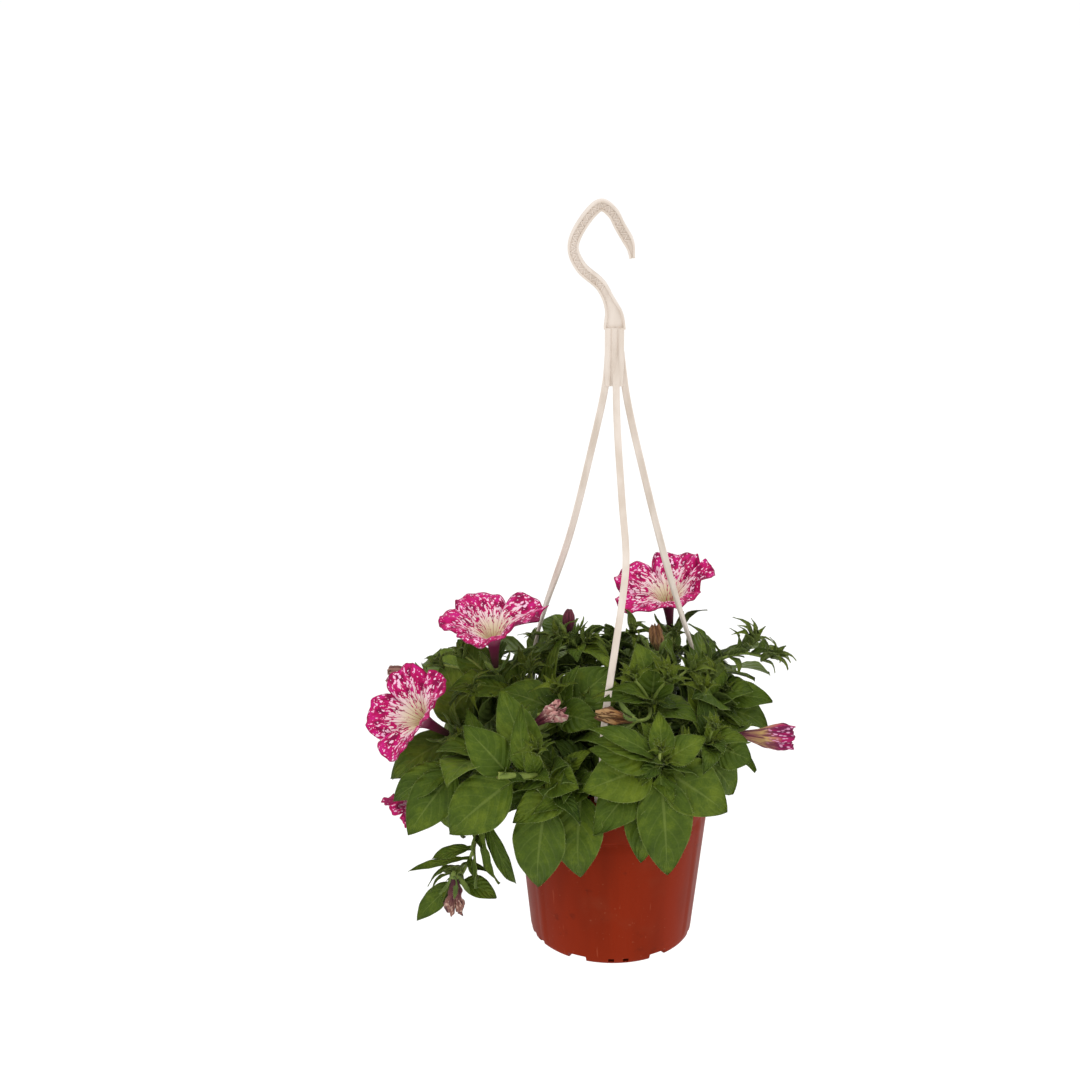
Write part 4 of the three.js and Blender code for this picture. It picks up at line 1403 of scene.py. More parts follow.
@dataclass
class Blade:
    """One leaf: its ends, and how it is folded along the midrib, arched, waved and curled."""

    base: Array
    tip: Array
    width: float
    roll: float = 0.0
    form: Outline = Outline.OVATE
    arch: float = 0.1
    fold: float = 0.22
    wave: float = 0.03
    curl: float = 0.05
    tone: float = 0.5
    phase: float = 0.0
    thickness: float = 0.7
    stalk: float = 1.8
    quilting: float = 1.0
    vein_pairs: float = 6.5
    ruffle_depth: float = 0.011
    quilt_depth: float = 0.022
    groove_depth: float = 0.5
    groove_width: float = 1.1

    def surface(self, x: Array, s: Array, z: Array) -> Array:
        """Points of the leaf.

        Args:
            x: Places across, from -1 to 1.
            s: Places along, from 0 to 1.
            z: -1 for the lower face, 1 for the upper, 0 between them.

        Returns:
            The points in the pot's frame.
        """
        way = self.tip - self.base
        length = float(np.linalg.norm(way))
        axis = way / length
        middle = (self.base + self.tip) / 2
        hint = 0.7 * unit(np.array([middle[0], middle[1], 0.0])) + UP
        normal = turned_about(unit(hint - axis * (hint @ axis)), axis, self.roll)
        side = np.cross(axis, normal)
        reach = np.abs(x)
        narrow = np.where(s < 0.5, self.stalk / 2, 0.25)
        half = np.maximum(self.width / 2 * outline_width(self.form, s), narrow)
        free = np.clip(outline_width(self.form, s), 0, 1)
        lift = length * self.arch * 4 * s * (1 - s)
        lift -= length * self.curl * np.clip((s - 0.55) / 0.45, 0, 1) ** 2
        lift += half * self.fold * reach**1.3
        lift += length * self.wave * np.sin(9 * s + np.sign(x)) * reach**2
        ruffle = np.sin(25 * s + self.phase + 2 * np.sign(x)) * reach**3 * free
        lift += self.quilting * length * self.ruffle_depth * ruffle
        veins = np.abs(np.sin(np.pi * self.vein_pairs * (s - VEIN_LEAN * reach**VEIN_BEND)))
        lift += self.quilting * self.quilt_depth * half * (veins - 0.6) * np.sin(np.pi * reach) * free
        lift -= self.groove_depth * free * np.exp(-((reach * half / self.groove_width) ** 2))
        stalky = 1 - smoothstep(s, 0.03, 0.16)
        thick = self.thickness * (1 - 0.45 * reach) + (self.stalk - self.thickness) * stalky
        points = self.base + (s * length)[:, None] * axis + (x * half)[:, None] * side
        return points + (lift + z * thick / 2)[:, None] * normal

    def samples(self) -> Array:
        """A few points that say where the leaf's free part is."""
        s, x = np.meshgrid((0.4, 0.6, 0.8, 1.0), (-0.9, 0.0, 0.9))
        return self.surface(x.ravel(), s.ravel(), np.zeros(12))

    def add_to(self, shapes: Shapes, sheet: Sheet, finish: int = 0) -> None:
        """Adds the leaf to a piece."""
        points = self.surface(sheet.x, sheet.s, sheet.z)
        shapes.add((points, sheet.faces), finish, sheet.place, self.tone)

    def margin(self, count: int) -> tuple[Array, Array]:
        """Finds where hairs grow along the margin.

        Args:
            count: How many places there are.

        Returns:
            The places, and the way that a hair points at each.
        """
        s = np.tile(np.linspace(0.12, 0.99, count // 2), 2)
        x = np.repeat([-1.0, 1.0], count // 2)
        edge = self.surface(x, s, np.zeros(len(s)))
        inner = self.surface(x * 0.8, s, np.zeros(len(s)))
        return edge, edge - inner


@dataclass(frozen=True)
class Fill:
    """Leaves that a stem carries by rule, between two shares of its length."""

    count: int
    low: float
    high: float
    length: float
    rise: float
    seed: int
    narrow: bool = False
    heading_spread: float = 30.0
    climb_spread: float = 22.0
    roll_spread: float = 18.0
    outward: float = 110.0


@dataclass(frozen=True)
class Stem:
    """One leafy stem: its thickness, its path, its stated leaves and those that it carries by rule."""

    name: str
    radius: float
    path: Rows
    stated: Rows
    fill: Fill
    young: Rows = ()
    shoots: Rows = ()
    bare: bool = False
    pruned: bool = False
    root: float = 106.0
    straight: float = 20.0

    def line(self) -> Line:
        """The stem's middle: straight up out of the soil, then along its path."""
        foot = [(*self.path[0], self.root + share * self.straight) for share in (0, 0.35, 0.7, 1)]
        return Line([*foot, *self.path[1:]])

    def blades(self, line: Line) -> list[Blade]:
        """Grows the stem's leaves.

        Args:
            line: The stem's middle.

        Returns:
            Its stated leaves, then those that it carries by rule, then its young ones.
        """
        draw, fill = draws(self.fill.seed), self.fill

        def spread(mean: float, reach: float) -> float:
            """A number near a mean."""
            return mean + reach * (2 * draw() - 1)

        made = [
            Blade(line.at(share), np.array((x, y, z), float), width, roll, tone=0.35 + 0.1 * (i % 4), phase=i)
            for i, (share, x, y, z, width, roll) in enumerate(self.stated)
        ]
        for i, leaf in enumerate(made):
            leaf.fold = 0.16 + 0.05 * (i * 3 % 4)
            leaf.curl = 0.02 + 0.05 * (i * 2 % 3)
            leaf.wave = 0.02 + 0.012 * (i % 3)
        start = 360 * draw()
        for i in range(fill.count):
            share = fill.low + (fill.high - fill.low) * (i + 0.5) / fill.count
            heading = math.radians(start + GOLDEN_ANGLE * i + spread(0, fill.heading_spread))
            climb = math.radians(spread(fill.rise, fill.climb_spread))
            long = spread(fill.length, fill.length * 0.2)
            base = line.at(share)
            way = unit(np.array([math.cos(heading), math.sin(heading), math.tan(climb)]))
            tip = base + long * unit(way + np.array([base[0], base[1], 0]) / fill.outward)
            width = long * 0.24 if fill.narrow else long * spread(0.62, 0.05)
            form = Outline.LANCE if fill.narrow else Outline.OVATE
            stalk = 1.0 if fill.narrow else 1.8
            roll = spread(0, fill.roll_spread)
            made.append(Blade(base, tip, width, roll, form, tone=0.2 + 0.15 * (i % 4), phase=i, stalk=stalk))
        for i, (share, x, y, z, width, roll, curl) in enumerate(self.young):
            tip = np.array((x, y, z), float)
            form = Outline.LANCE if width < 12 else Outline.OVATE
            made.append(Blade(
                line.at(share), tip, width, roll, form, tone=0.4 + 0.15 * (i % 3), phase=i, stalk=1.3,
                curl=curl, fold=0.4, vein_pairs=5.0,
            ))
        return made


def polar_ways(axis: Array) -> tuple[Array, Array]:
    """Two directions at right angles to an axis and to each other."""
    u = unit(np.cross(axis, RIGHT if abs(axis[2]) > 0.9 else UP))
    return u, np.cross(axis, u)


@dataclass(frozen=True)
class Calyx:
    """The stalk of a bloom and the green cup of five sepals that holds it."""

    stalk: float = 1.2
    radius: float = 2.6
    sepals: int = 5
    length: float = 14.0
    spread: float = 36.0
    sepal_width: float = 3.4
    cup: tuple[tuple[float, float], ...] = (
        (0.9, -4.5), (1.5, -4), (2.3, -2.8), (2.8, -1), (2.9, 0.8), (2.3, 0.8), (1.9, -0.3),
    )

    def add_to(
        self, shapes: Shapes, sheet: Sheet, line: Line, share: float, base: Array, axis: Array
    ) -> list[Blade]:
        """Adds a calyx to its stem's piece.

        Args:
            shapes: The piece.
            sheet: What a sepal is bent from.
            line: The stem's middle.
            share: Where on the stem the stalk starts.
            base: Where the bloom sits.
            axis: The way that the bloom points.

        Returns:
            The sepals.
        """
        start = line.at(share)
        bend = base - 0.45 * np.linalg.norm(base - start) * axis
        seat = base - 0.3 * axis
        steps = np.linspace(0, 1, 14)[:, None]
        middle = (1 - steps) ** 2 * start + 2 * steps * (1 - steps) * bend + steps**2 * seat
        shapes.add(tube(middle, np.linspace(self.stalk, self.stalk * 1.1, 14), 10), 1, tone=0.5)
        u, v = polar_ways(axis)
        rings = [base + reach * spokes(turns(20), u, v) + height * axis for reach, height in self.cup]
        shapes.add(loft(np.array(rings)), 1, tone=0.42)
        made = []
        spread = math.radians(self.spread)
        for k in range(self.sepals):
            a = 2 * math.pi * k / self.sepals
            out = math.cos(a) * u + math.sin(a) * v
            root = base + out * (self.radius - 0.2) - 1.2 * axis
            reach = self.radius + self.length * math.sin(spread)
            tip = base + out * reach + axis * self.length * math.cos(spread)
            sepal = Blade(
                root, tip, self.sepal_width, form=Outline.STRAP, arch=-0.14, fold=0.3, wave=0.0,
                curl=0.0, tone=0.1 + 0.1 * (k % 3), thickness=0.8, stalk=2.0,
            )
            sepal.add_to(shapes, sheet, 1)
            made.append(sepal)
        return made


@dataclass
class OpenBloom:
    """A trumpet of five joined petals with a ruffled rim."""

    name: str
    stem: str
    share: float
    base: Point
    axis: Point
    tube: float
    radius: float
    turn: float
    lifts: tuple[float, ...]
    folds: tuple[float, ...] = (4.0, 3.0, 3.0, 4.0, 5.0)
    curls: tuple[float, ...] = (2.0, 4.0, 4.0, 2.0, 1.0)
    cups: tuple[float, ...] = (0.0, 0.0, 0.0, 0.0, 0.0)
    tube_radius: float = 1.9
    throat: float = 9.0
    thickness: float = 0.6
    around_count: int = 180
    along_count: int = 34
    speckle_radius: float = 34.0
    lobing: float = 0.19
    notch: float = 0.08
    groove_depth: float = 0.8
    groove_width: float = 0.12

    def skin(self, inside: bool, shares: Array) -> tuple[Array, Array]:
        """Rings of one face of the trumpet.

        Args:
            inside: Whether it is the inner face.
            shares: Places along the profile, from the tube's foot at 0 to the rim at 1.

        Returns:
            The rings and what the finish reads at their points.
        """
        r, tube = self.radius, self.tube
        profile = Line([
            (self.tube_radius, 0, 0), (0.53 * self.throat, 0.75 * tube, 0), (self.throat, tube, 0),
            (0.58 * r, tube + 6, 0.45 * r), (r, tube + 9, r),
        ])
        reach, height, open_ = np.array([profile.at(share) for share in shares]).T[:, :, None]
        open_ = np.clip(open_ / r, 0, 1)
        a = turns(self.around_count)[None, :]
        petal = np.abs(np.cos(PETALS / 2 * a))
        place = a * PETALS / (2 * np.pi) + 0.5
        lobe = np.floor(place % PETALS).astype(int) % PETALS
        off = 2 * (place % 1 - 0.5)
        lifts, folds, curls = (np.array(values)[lobe] for values in (self.lifts, self.folds, self.curls))
        edge = 1 + open_ * (self.lobing * petal**0.75 - self.notch)
        frill = 0.014 * np.abs(np.sin(17 * a + self.turn)) + 0.008 * np.sin(9 * a + self.turn)
        edge = edge - open_**3 * frill
        lift = open_ * (lifts * petal**0.5 - 2 * (1 - petal))
        lift = lift + open_ * folds * 4 * off**2 * (1 - off**2)
        lift = lift - curls * petal**0.5 * np.clip((open_ - 0.7) / 0.3, 0, 1) ** 2
        ruffle = 0.9 * np.sin(11 * a + self.turn) + 0.7 * np.sin(19 * a - self.turn)
        lift = lift + open_**2 * ruffle * r / 34
        # Each petal has a shallow groove down its middle and a few folds out of the throat.
        groove = np.exp(-((off / self.groove_width) ** 2))
        lift = lift - self.groove_depth * np.sin(np.pi * np.clip(open_, 0, 1)) * groove
        inset = np.zeros_like(open_)
        if inside:
            inset = (1 - open_) * self.thickness
            lift = lift + open_ * self.thickness
        # A cupped lobe bends up from the throat's edge by its own angle, and a negative one bends back.
        low = np.floor(a * PETALS / (2 * np.pi)).astype(int)
        between = smoothstep(a * PETALS / (2 * np.pi) - low, 0, 1)
        cups = np.array(self.cups)
        cup = np.radians(cups[low % PETALS] * (1 - between) + cups[(low + 1) % PETALS] * between)
        cup = cup * smoothstep(open_, 0.0, 0.55)
        far, up = reach * edge - inset - self.throat, height + lift - tube
        final_reach = self.throat + far * np.cos(cup) - up * np.sin(cup)
        final_height = tube + far * np.sin(cup) + up * np.cos(cup)
        axis = unit(np.array(self.axis, float))
        u, v = polar_ways(axis)
        turn = math.radians(self.turn)
        out = spokes(a + turn, u, v)
        rings = np.array(self.base) + final_reach[..., None] * out + final_height[..., None] * axis
        # Inwards the pattern is drawn narrower and narrower, so its spots become rays there.
        flat = (0.35 + 0.65 * np.clip(reach / r, 0, 1) ** 1.2) * r / self.speckle_radius
        limb = 0.5 + 0.5 * np.clip((reach - self.throat) / (r - self.throat), 0, 1)
        depth = np.where(reach < self.throat, 0.5 * np.clip(height / tube, 0, 1), limb)
        own = np.stack([flat * np.cos(a), flat * np.sin(a), depth + 0 * a], -1)
        return rings, own

    def samples(self) -> Array:
        """Points that say where the bloom is."""
        rings, _ = self.skin(False, np.linspace(0.2, 1, 9))
        return rings[:, ::12].reshape(-1, 3)

    def build(self, skin: Material) -> None:
        """Makes the bloom.

        Args:
            skin: The petals' material.
        """
        shapes = Shapes()
        outside, own_out = self.skin(False, np.linspace(0, 1, self.along_count))
        inside, own_in = self.skin(True, np.linspace(1, 0.22, self.along_count))
        points, faces = loft(np.concatenate([outside, inside]))
        shapes.add((points, faces), place=np.concatenate([own_out, own_in]).reshape(-1, 3))
        half = len(points) // 2
        shapes.tones[0][:half] = 1.0
        shapes.tones[0][half:] = 0.0
        piece = shapes.piece("petals_" + self.name, [skin])
        settle(piece, [self.name])


@dataclass
class ClosedBloom:
    """A bud, or a bloom that has folded or withered: creased, twisted and, once withered, open-ended."""

    name: str
    stem: str
    share: float
    base: Point
    axis: Point
    length: float
    radii: tuple[float, ...]
    crumple: float
    finish: WitheredPetal
    slot: str = "spent_petals"
    around_count: int = 60
    along_count: int = 48

    def skin(self, shares: Array, inset: float, scale: Array | float = 1.0) -> tuple[Array, Array]:
        """Rings of the bloom and what the finish reads at their points.

        Args:
            shares: Places along it, from 0 to 1.
            inset: How far the rings lie inside the outer face.
            scale: What else the reach is multiplied by at each share.

        Returns:
            The rings and the finish's values.
        """
        last = len(self.radii) - 1
        profile = Line([(self.length * k / last, radius, 0) for k, radius in enumerate(self.radii)])
        height, reach, _ = np.array([profile.at(share) for share in shares]).T[:, :, None]
        t = shares[:, None]
        a = turns(self.around_count)[None, :]
        seed = len(self.name)
        deep = self.crumple * smoothstep(t, 0.12, 0.6)
        folds = 0.55 * np.cos(5 * a + 3.2 * t + seed) + 0.3 * np.cos(8 * a - 5 * t + 2 * seed)
        folds = folds + 0.28 * np.sin(13 * a + 9 * t) * t + 0.2 * np.sin(19 * a + 4 * np.sin(7 * t)) * t
        folds = folds + 0.3 * t**2 * np.sin(7 * a + 5 * np.sin(3 * a + seed) + 14 * t)
        reach = np.maximum(reach * (1 + deep * folds) * np.reshape(scale, (-1, 1)) - inset, 0.25)
        sway = self.length * 0.05 * self.crumple * np.sin(5 * t + seed)
        frayed = np.cos(5 * a + 3.2 + seed) + 0.5 * np.sin(11 * a) + 0.5 * np.sin(17 * a + seed)
        height = height + self.length * 0.1 * self.crumple * t**4 * frayed
        axis = unit(np.array(self.axis, float))
        u, v = polar_ways(axis)
        out = spokes(a, u, v)
        rings = np.array(self.base) + reach[..., None] * out + height[..., None] * axis + sway[..., None] * u
        own = np.stack([np.cos(a) + 0 * t, np.sin(a) + 0 * t, t + 0 * a], -1)
        return rings, own

    def samples(self) -> Array:
        """Points that say where the bloom is."""
        rings, _ = self.skin(np.linspace(0.2, 1, 6), 0.0)
        return rings[:, ::10].reshape(-1, 3)

    def build(self) -> None:
        """Makes the bloom."""
        shapes = Shapes()
        outside, own_out = self.skin(np.linspace(0, 1, self.along_count), 0.0)
        if self.slot == "bud":
            shares = np.linspace(1, 1, 3)
            inside, own_in = self.skin(shares, 0.0, np.array([0.8, 0.45, 0.1]))
        else:
            shares = np.linspace(1, 0.55, 16)
            inside, own_in = self.skin(shares, 0.5, np.linspace(0.98, 0.4, 16))
        points = np.concatenate([outside, inside])
        shapes.add(loft(points), place=np.concatenate([own_out, own_in]).reshape(-1, 3))
        piece = shapes.piece("petals_" + self.name, [self.finish.material()])
        settle(piece, [self.name])


STEMS = (
    Stem(
        "stem_front_right", 2, ((12, -26), (16, -44, 142), (23, -66, 158), (28, -80, 167), (30, -86, 172)),
        ((0.92, 34, -91, 90, 37, 15), (0.78, 16, -92, 99, 30, 10), (0.84, 74, -80, 131, 38, 30),
         (0.88, -22, -97, 156, 38, -20), (0.72, -14, -99, 126, 34, -10), (1, 27, -78, 204, 17, -15),
         (0.94, -18, -94, 185, 24, -25), (0.97, 58, -80, 187, 20, 15)),
        Fill(5, 0.8, 1, 18, 50, 57, narrow=True),
        young=((0.97, -18, -97, 202, 16, 0, 0.05), (0.97, -17, -97, 193, 19, 0, 0.05),
         (0.8, -6, -90, 144, 16, -10, 0.05)),
        shoots=((0.97, 27, -72, 186), (0.93, 45, -70, 174)),
    ),
    Stem(
        "stem_front_left", 2.2,
        ((-10, -28), (-20, -46, 142), (-38, -70, 154), (-56, -80, 158), (-76, -80, 158)),
        ((0.95, -100, -80, 195, 28, 0), (0.86, -63, -79, 207, 15, 20), (0.8, -56, -88, 188, 12, 40),
         (0.74, -25, -94, 157, 26, 20), (0.66, -33, -86, 170, 12, 30), (0.9, -111, -87, 119, 38, -35),
         (0.8, -76, -54, 209, 28, 10)),
        Fill(3, 0.45, 0.7, 20, 40, 62, narrow=True), pruned=True,
        young=((0.5, -75, -60, 119, 22, 0, 0.05), (0.9, -102, -56, 135, 18, 0, 0.05)),
        shoots=((0.75, -52, -90, 181),),
    ),
    Stem(
        "stem_low_front", 1.8, ((-2, -40), (-12, -58, 142), (-28, -76, 148), (-46, -80, 146)),
        ((0.98, -52, -86, 78, 37, -15), (0.7, -25, -91, 87, 36, 0), (0.55, -54, -98, 141, 18, -25),
         (0.8, -68, -92, 130, 26, -20)),
        Fill(0, 0.5, 0.9, 40, 0, 1), bare=True,
    ),
    Stem(
        "stem_left_front", 2,
        ((-28, -22), (-43, -34, 144), (-72, -48, 154), (-94, -56, 156), (-106, -58, 154)),
        ((0.97, -138, -76, 112, 32, -40), (0.99, -150, -60, 130, 22, -35), (0.9, -119, -62, 158, 16, -30)),
        Fill(4, 0.4, 0.9, 50, 14, 4230),
        young=((1.0, -104, -52, 95, 24, -20, 0.08), (0.7, -107, -50, 135, 24, -20, 0.04)),
    ),
    Stem(
        "stem_trailing", 1.6,
        ((-30, -38), (-50, -54, 146), (-72, -64, 142), (-88, -58, 120), (-96, -50, 84), (-106, -42, 58)),
        ((0.99, -135, -46, 29, 16, -40), (0.99, -79, -44, 46, 15, 20), (0.8, -124, -50, 80, 9, -30),
         (0.86, -140, -50, 70, 6, -30), (0.62, -66, -60, 62, 11, -20)),
        Fill(4, 0.7, 1, 18, -20, 27, narrow=True), bare=True,
        young=((0.6, -79, -62, 66, 7, 0, 0.05), (0.66, -88, -60, 63, 6, 30, -0.1),
         (0.93, -122, -56, 74, 4, 0, 0.3), (0.93, -127, -54, 67, 4, 10, 0.25),
         (0.94, -126, -52, 60, 4, 20, 0.2), (0.95, -118, -52, 46, 4, 0, 0.1), (0.86, -92, -56, 66, 5, 0, 0.2),
         (0.9, -84, -54, 72, 4, 10, 0.2)),
    ),
    Stem(
        "stem_left", 2, ((-38, -6), (-58, -10, 146), (-84, -14, 158), (-104, -18, 158)),
        ((0.98, -153, -14, 122, 28, -40), (0.99, -151, -34, 134, 26, -40)),
        Fill(4, 0.4, 0.96, 46, 16, 1),
    ),
    Stem(
        "stem_left_back", 2, ((-34, 14), (-54, 26, 146), (-80, 36, 164), (-98, 40, 172)),
        (),
        Fill(7, 0.35, 1, 52, 12, 3790),
        young=((0.75, -31, 20, 211, 26, 20, 0.06),),
    ),
    Stem(
        "stem_top_left", 1.8, ((-22, -6), (-38, -8, 152), (-62, -8, 180), (-84, -4, 192)),
        ((1, -106, 14, 214, 24, 0), (0.66, -98, 8, 204, 26, -15), (0.84, -111, -26, 196, 26, -35),
         (0.56, -36, 8, 217, 16, 30)),
        Fill(2, 0.5, 0.95, 42, 24, 28),
        young=((0.8, -52, -4, 213, 18, 10, 0.08),),
        shoots=((0.7, -56, -14, 205), (1.0, -118, 4, 200), (0.98, -103, 4, 207), (1.0, -94, -25, 194)),
    ),
    Stem(
        "stem_centre_left", 1.8, ((-8, -12), (-16, -20, 150), (-30, -30, 176), (-40, -38, 184)),
        ((0.92, -1, -22, 209, 34, 25), (0.98, -10, -54, 183, 24, 15)),
        Fill(6, 0.5, 0.98, 44, 30, 2072),
        shoots=((0.9, -39, -38, 201), (1.0, -62, -56, 186)),
    ),
    Stem(
        "stem_centre_back", 1.8, ((-4, 12), (-10, 18, 152), (-20, 20, 190), (-28, 20, 212)),
        (),
        Fill(6, 0.4, 1, 42, 30, 963),
        shoots=((0.95, -36, 14, 216), (0.9, -16, 16, 212)),
    ),
    Stem(
        "stem_top_right", 1.8, ((14, 10), (24, 28, 152), (34, 50, 172), (40, 62, 182)),
        (),
        Fill(6, 0.4, 0.96, 44, 26, 1181),
        young=((1.0, 62, 66, 220, 5, 0, 0.35), (0.8, 23, 44, 216, 9, 0, 0.2)),
    ),
    Stem(
        "stem_centre_right", 1.8, ((10, -8), (16, -16, 152), (22, -34, 184), (24, -46, 196)),
        ((0.96, 26, -42, 224, 27, -20),),
        Fill(4, 0.45, 1, 40, 36, 40),
        young=((0.9, -10, -77, 213, 13, 0, 0.1), (0.92, -3, -74, 221, 11, 0, 0.15)),
        shoots=((0.85, 32, -48, 218), (0.95, 10, -66, 223), (1.0, 2, -58, 206), (0.98, 34, -56, 216),
         (0.9, 50, -34, 215)),
    ),
    Stem(
        "stem_right_front", 2, ((28, -20), (42, -34, 146), (56, -46, 162), (66, -54, 168)),
        ((0.96, 91, -54, 156, 26, 35), (0.8, 82, -44, 125, 28, 35)),
        Fill(4, 0.5, 0.98, 42, 20, 20),
    ),
    Stem(
        "stem_right", 2, ((36, -2), (50, -6, 150), (66, -8, 176), (74, -8, 184)),
        ((0.9, 93, -20, 192, 30, 35), (0.96, 108, -10, 180, 20, 40), (0.6, 98, -20, 132, 18, 30)),
        Fill(5, 0.5, 0.95, 44, 14, 1981),
        young=((0.85, 106, -12, 160, 30, 25, 0.08),),
        shoots=((0.62, 58, -40, 203), (0.95, 64, -15, 200)),
    ),
    Stem(
        "stem_right_shoot", 1.5, ((28, 16), (42, 14, 156), (62, 8, 194), (86, 4, 208), (104, 2, 206)),
        ((0.5, 84, 10, 212, 17, 20), (0.45, 24, 14, 228, 12, -20)),
        Fill(12, 0.6, 1, 22, 24, 9, narrow=True),
        young=((0.7, 55, 14, 227, 9, 0, 0.15), (0.86, 90, -2, 232, 5, 0, 0.3),
         (0.88, 100, 0, 230, 5, 0, 0.35), (0.84, 84, 2, 228, 5, 0, 0.3)),
        shoots=((0.9, 94, 0, 220), (0.97, 110, 0, 208)),
    ),
    Stem(
        "stem_right_back", 2, ((24, 32), (40, 46, 146), (62, 58, 164), (74, 64, 172)),
        (),
        Fill(8, 0.35, 1, 52, 6, 489),
    ),
    Stem(
        "stem_back_right", 2, ((6, 40), (8, 58, 144), (14, 78, 156), (18, 90, 160)),
        (),
        Fill(6, 0.35, 1, 46, 6, 3109),
    ),
    Stem(
        "stem_back_left", 2, ((-16, 34), (-30, 56, 146), (-46, 76, 160), (-54, 84, 164)),
        (),
        Fill(8, 0.35, 1, 50, 6, 1513),
    ),
    Stem(
        "stem_back_top", 1.8, ((8, 24), (6, 36, 156), (2, 48, 186), (0, 52, 196)),
        (),
        Fill(6, 0.4, 1, 40, 30, 685),
        shoots=((0.98, 14, 32, 212),),
    ),
)

BLOOMS = (
    OpenBloom(
        "bloom_top_left", "stem_top_left", 0.9, (-80, -8, 203), (-0.06, -0.15, 1), 28, 34, 20,
        (4, -2, -1, 3, 9), (2, 2, 2, 4, 5), (3, 3, 2, 1, 1), (-2, 14, 12, 20, -25),
    ),
    OpenBloom(
        "bloom_top_right", "stem_top_right", 0.96, (42, 74, 195), (-0.1, -0.18, 1), 28, 34, 54,
        (6, 4, -3, 0, 5), (3, 2, 3, 7, 6), (2, 2, 1, 1, 2), (-10, -12, 16, 15, -6),
    ),
    OpenBloom(
        "bloom_left", "stem_left", 0.95, (-112, -26, 162), (-0.66, -0.42, 0.62), 30, 31, 30,
        (6, 0, -2, 2, 7), (3, 3, 2, 3, 3), (2, 2, 0, 2, 2), (4, -4, 24, -6, -2),
    ),
    OpenBloom(
        "bloom_low_left", "stem_left_front", 0.93, (-119, -32, 124), (-0.8, -0.42, -0.42), 16, 21, 0,
        (4, 2, 5, 3, 6), cups=(25, 48, 50, 25, 22),
    ),
    ClosedBloom(
        "bloom_folded", "stem_right_front", 0.9, (80, -30, 164), (1, -0.04, -0.06), 40,
        (2, 3.2, 4.9, 7, 8, 7.2), 0.26,
        WitheredPetal("folded_petunia_petal", "#8A3C5C", "#C6A468", "#A01858", "#641C42", "#D99ABC", 0.44),
        "petals",
    ),
    ClosedBloom(
        "spent_bloom_front_left", "stem_front_left", 0.7, (-58, -60, 182), (0.7, -0.15, 0.62), 27,
        (1.6, 1.9, 2.4, 3.1, 4.7, 3.9), 0.8,
        WitheredPetal("withered_petal_pink", "#46202A", "#6C2A38", "#C48E88", "#6C2A3A", "#E2C2B4", 0.5),
    ),
    ClosedBloom(
        "spent_bloom_front", "stem_centre_right", 0.9, (10, -72, 195), (-0.93, -0.3, 0.3), 24,
        (1.8, 2.8, 3.7, 3.6, 2.8, 2), 0.85,
        WitheredPetal("withered_petal_straw", "#6A4A2C", "#9C6E40", "#B48E62", "#4C2A1E", creased=0.45),
    ),
    ClosedBloom(
        "spent_bloom_top", "stem_centre_right", 0.75, (30, 0, 212), (-0.12, 0, 1), 18,
        (1.8, 3, 4, 3.8, 3.2, 2), 0.5,
        WitheredPetal("withered_petal_tan", "#6E6438", "#8E6C48", "#86603F", "#5C3A28"),
    ),
    ClosedBloom(
        "spent_bloom_left", "stem_left_back", 0.9, (-126, 12, 184), (-1, -0.1, 0.2), 28,
        (1.8, 2.4, 3.2, 5, 5.6, 4.4), 0.35,
        WitheredPetal("withered_petal_brown", "#6A463A", "#966C60", "#9C7468", "#5E3A38"),
    ),
    ClosedBloom(
        "spent_bloom_trailing", "stem_trailing", 0.95, (-108, -54, 68), (0.0, -0.1, -1), 25,
        (1.8, 3.3, 3.9, 3.3, 4.7, 3.6), 0.75,
        WitheredPetal("withered_petal_rose", "#4E2A30", "#6A3E40", "#8E6458", "#44202C", "#C4A090"),
    ),
    ClosedBloom(
        "bud_top", "stem_centre_back", 0.95, (-31, 20, 216), (0.05, 0, 1), 17, (1.8, 3.2, 4, 4.2, 3.8, 2.2),
        0.06, WitheredPetal("petunia_bud_petal", "#452229", "#642A3A", "#723342", "#3A151F"), "bud",
    ),
)


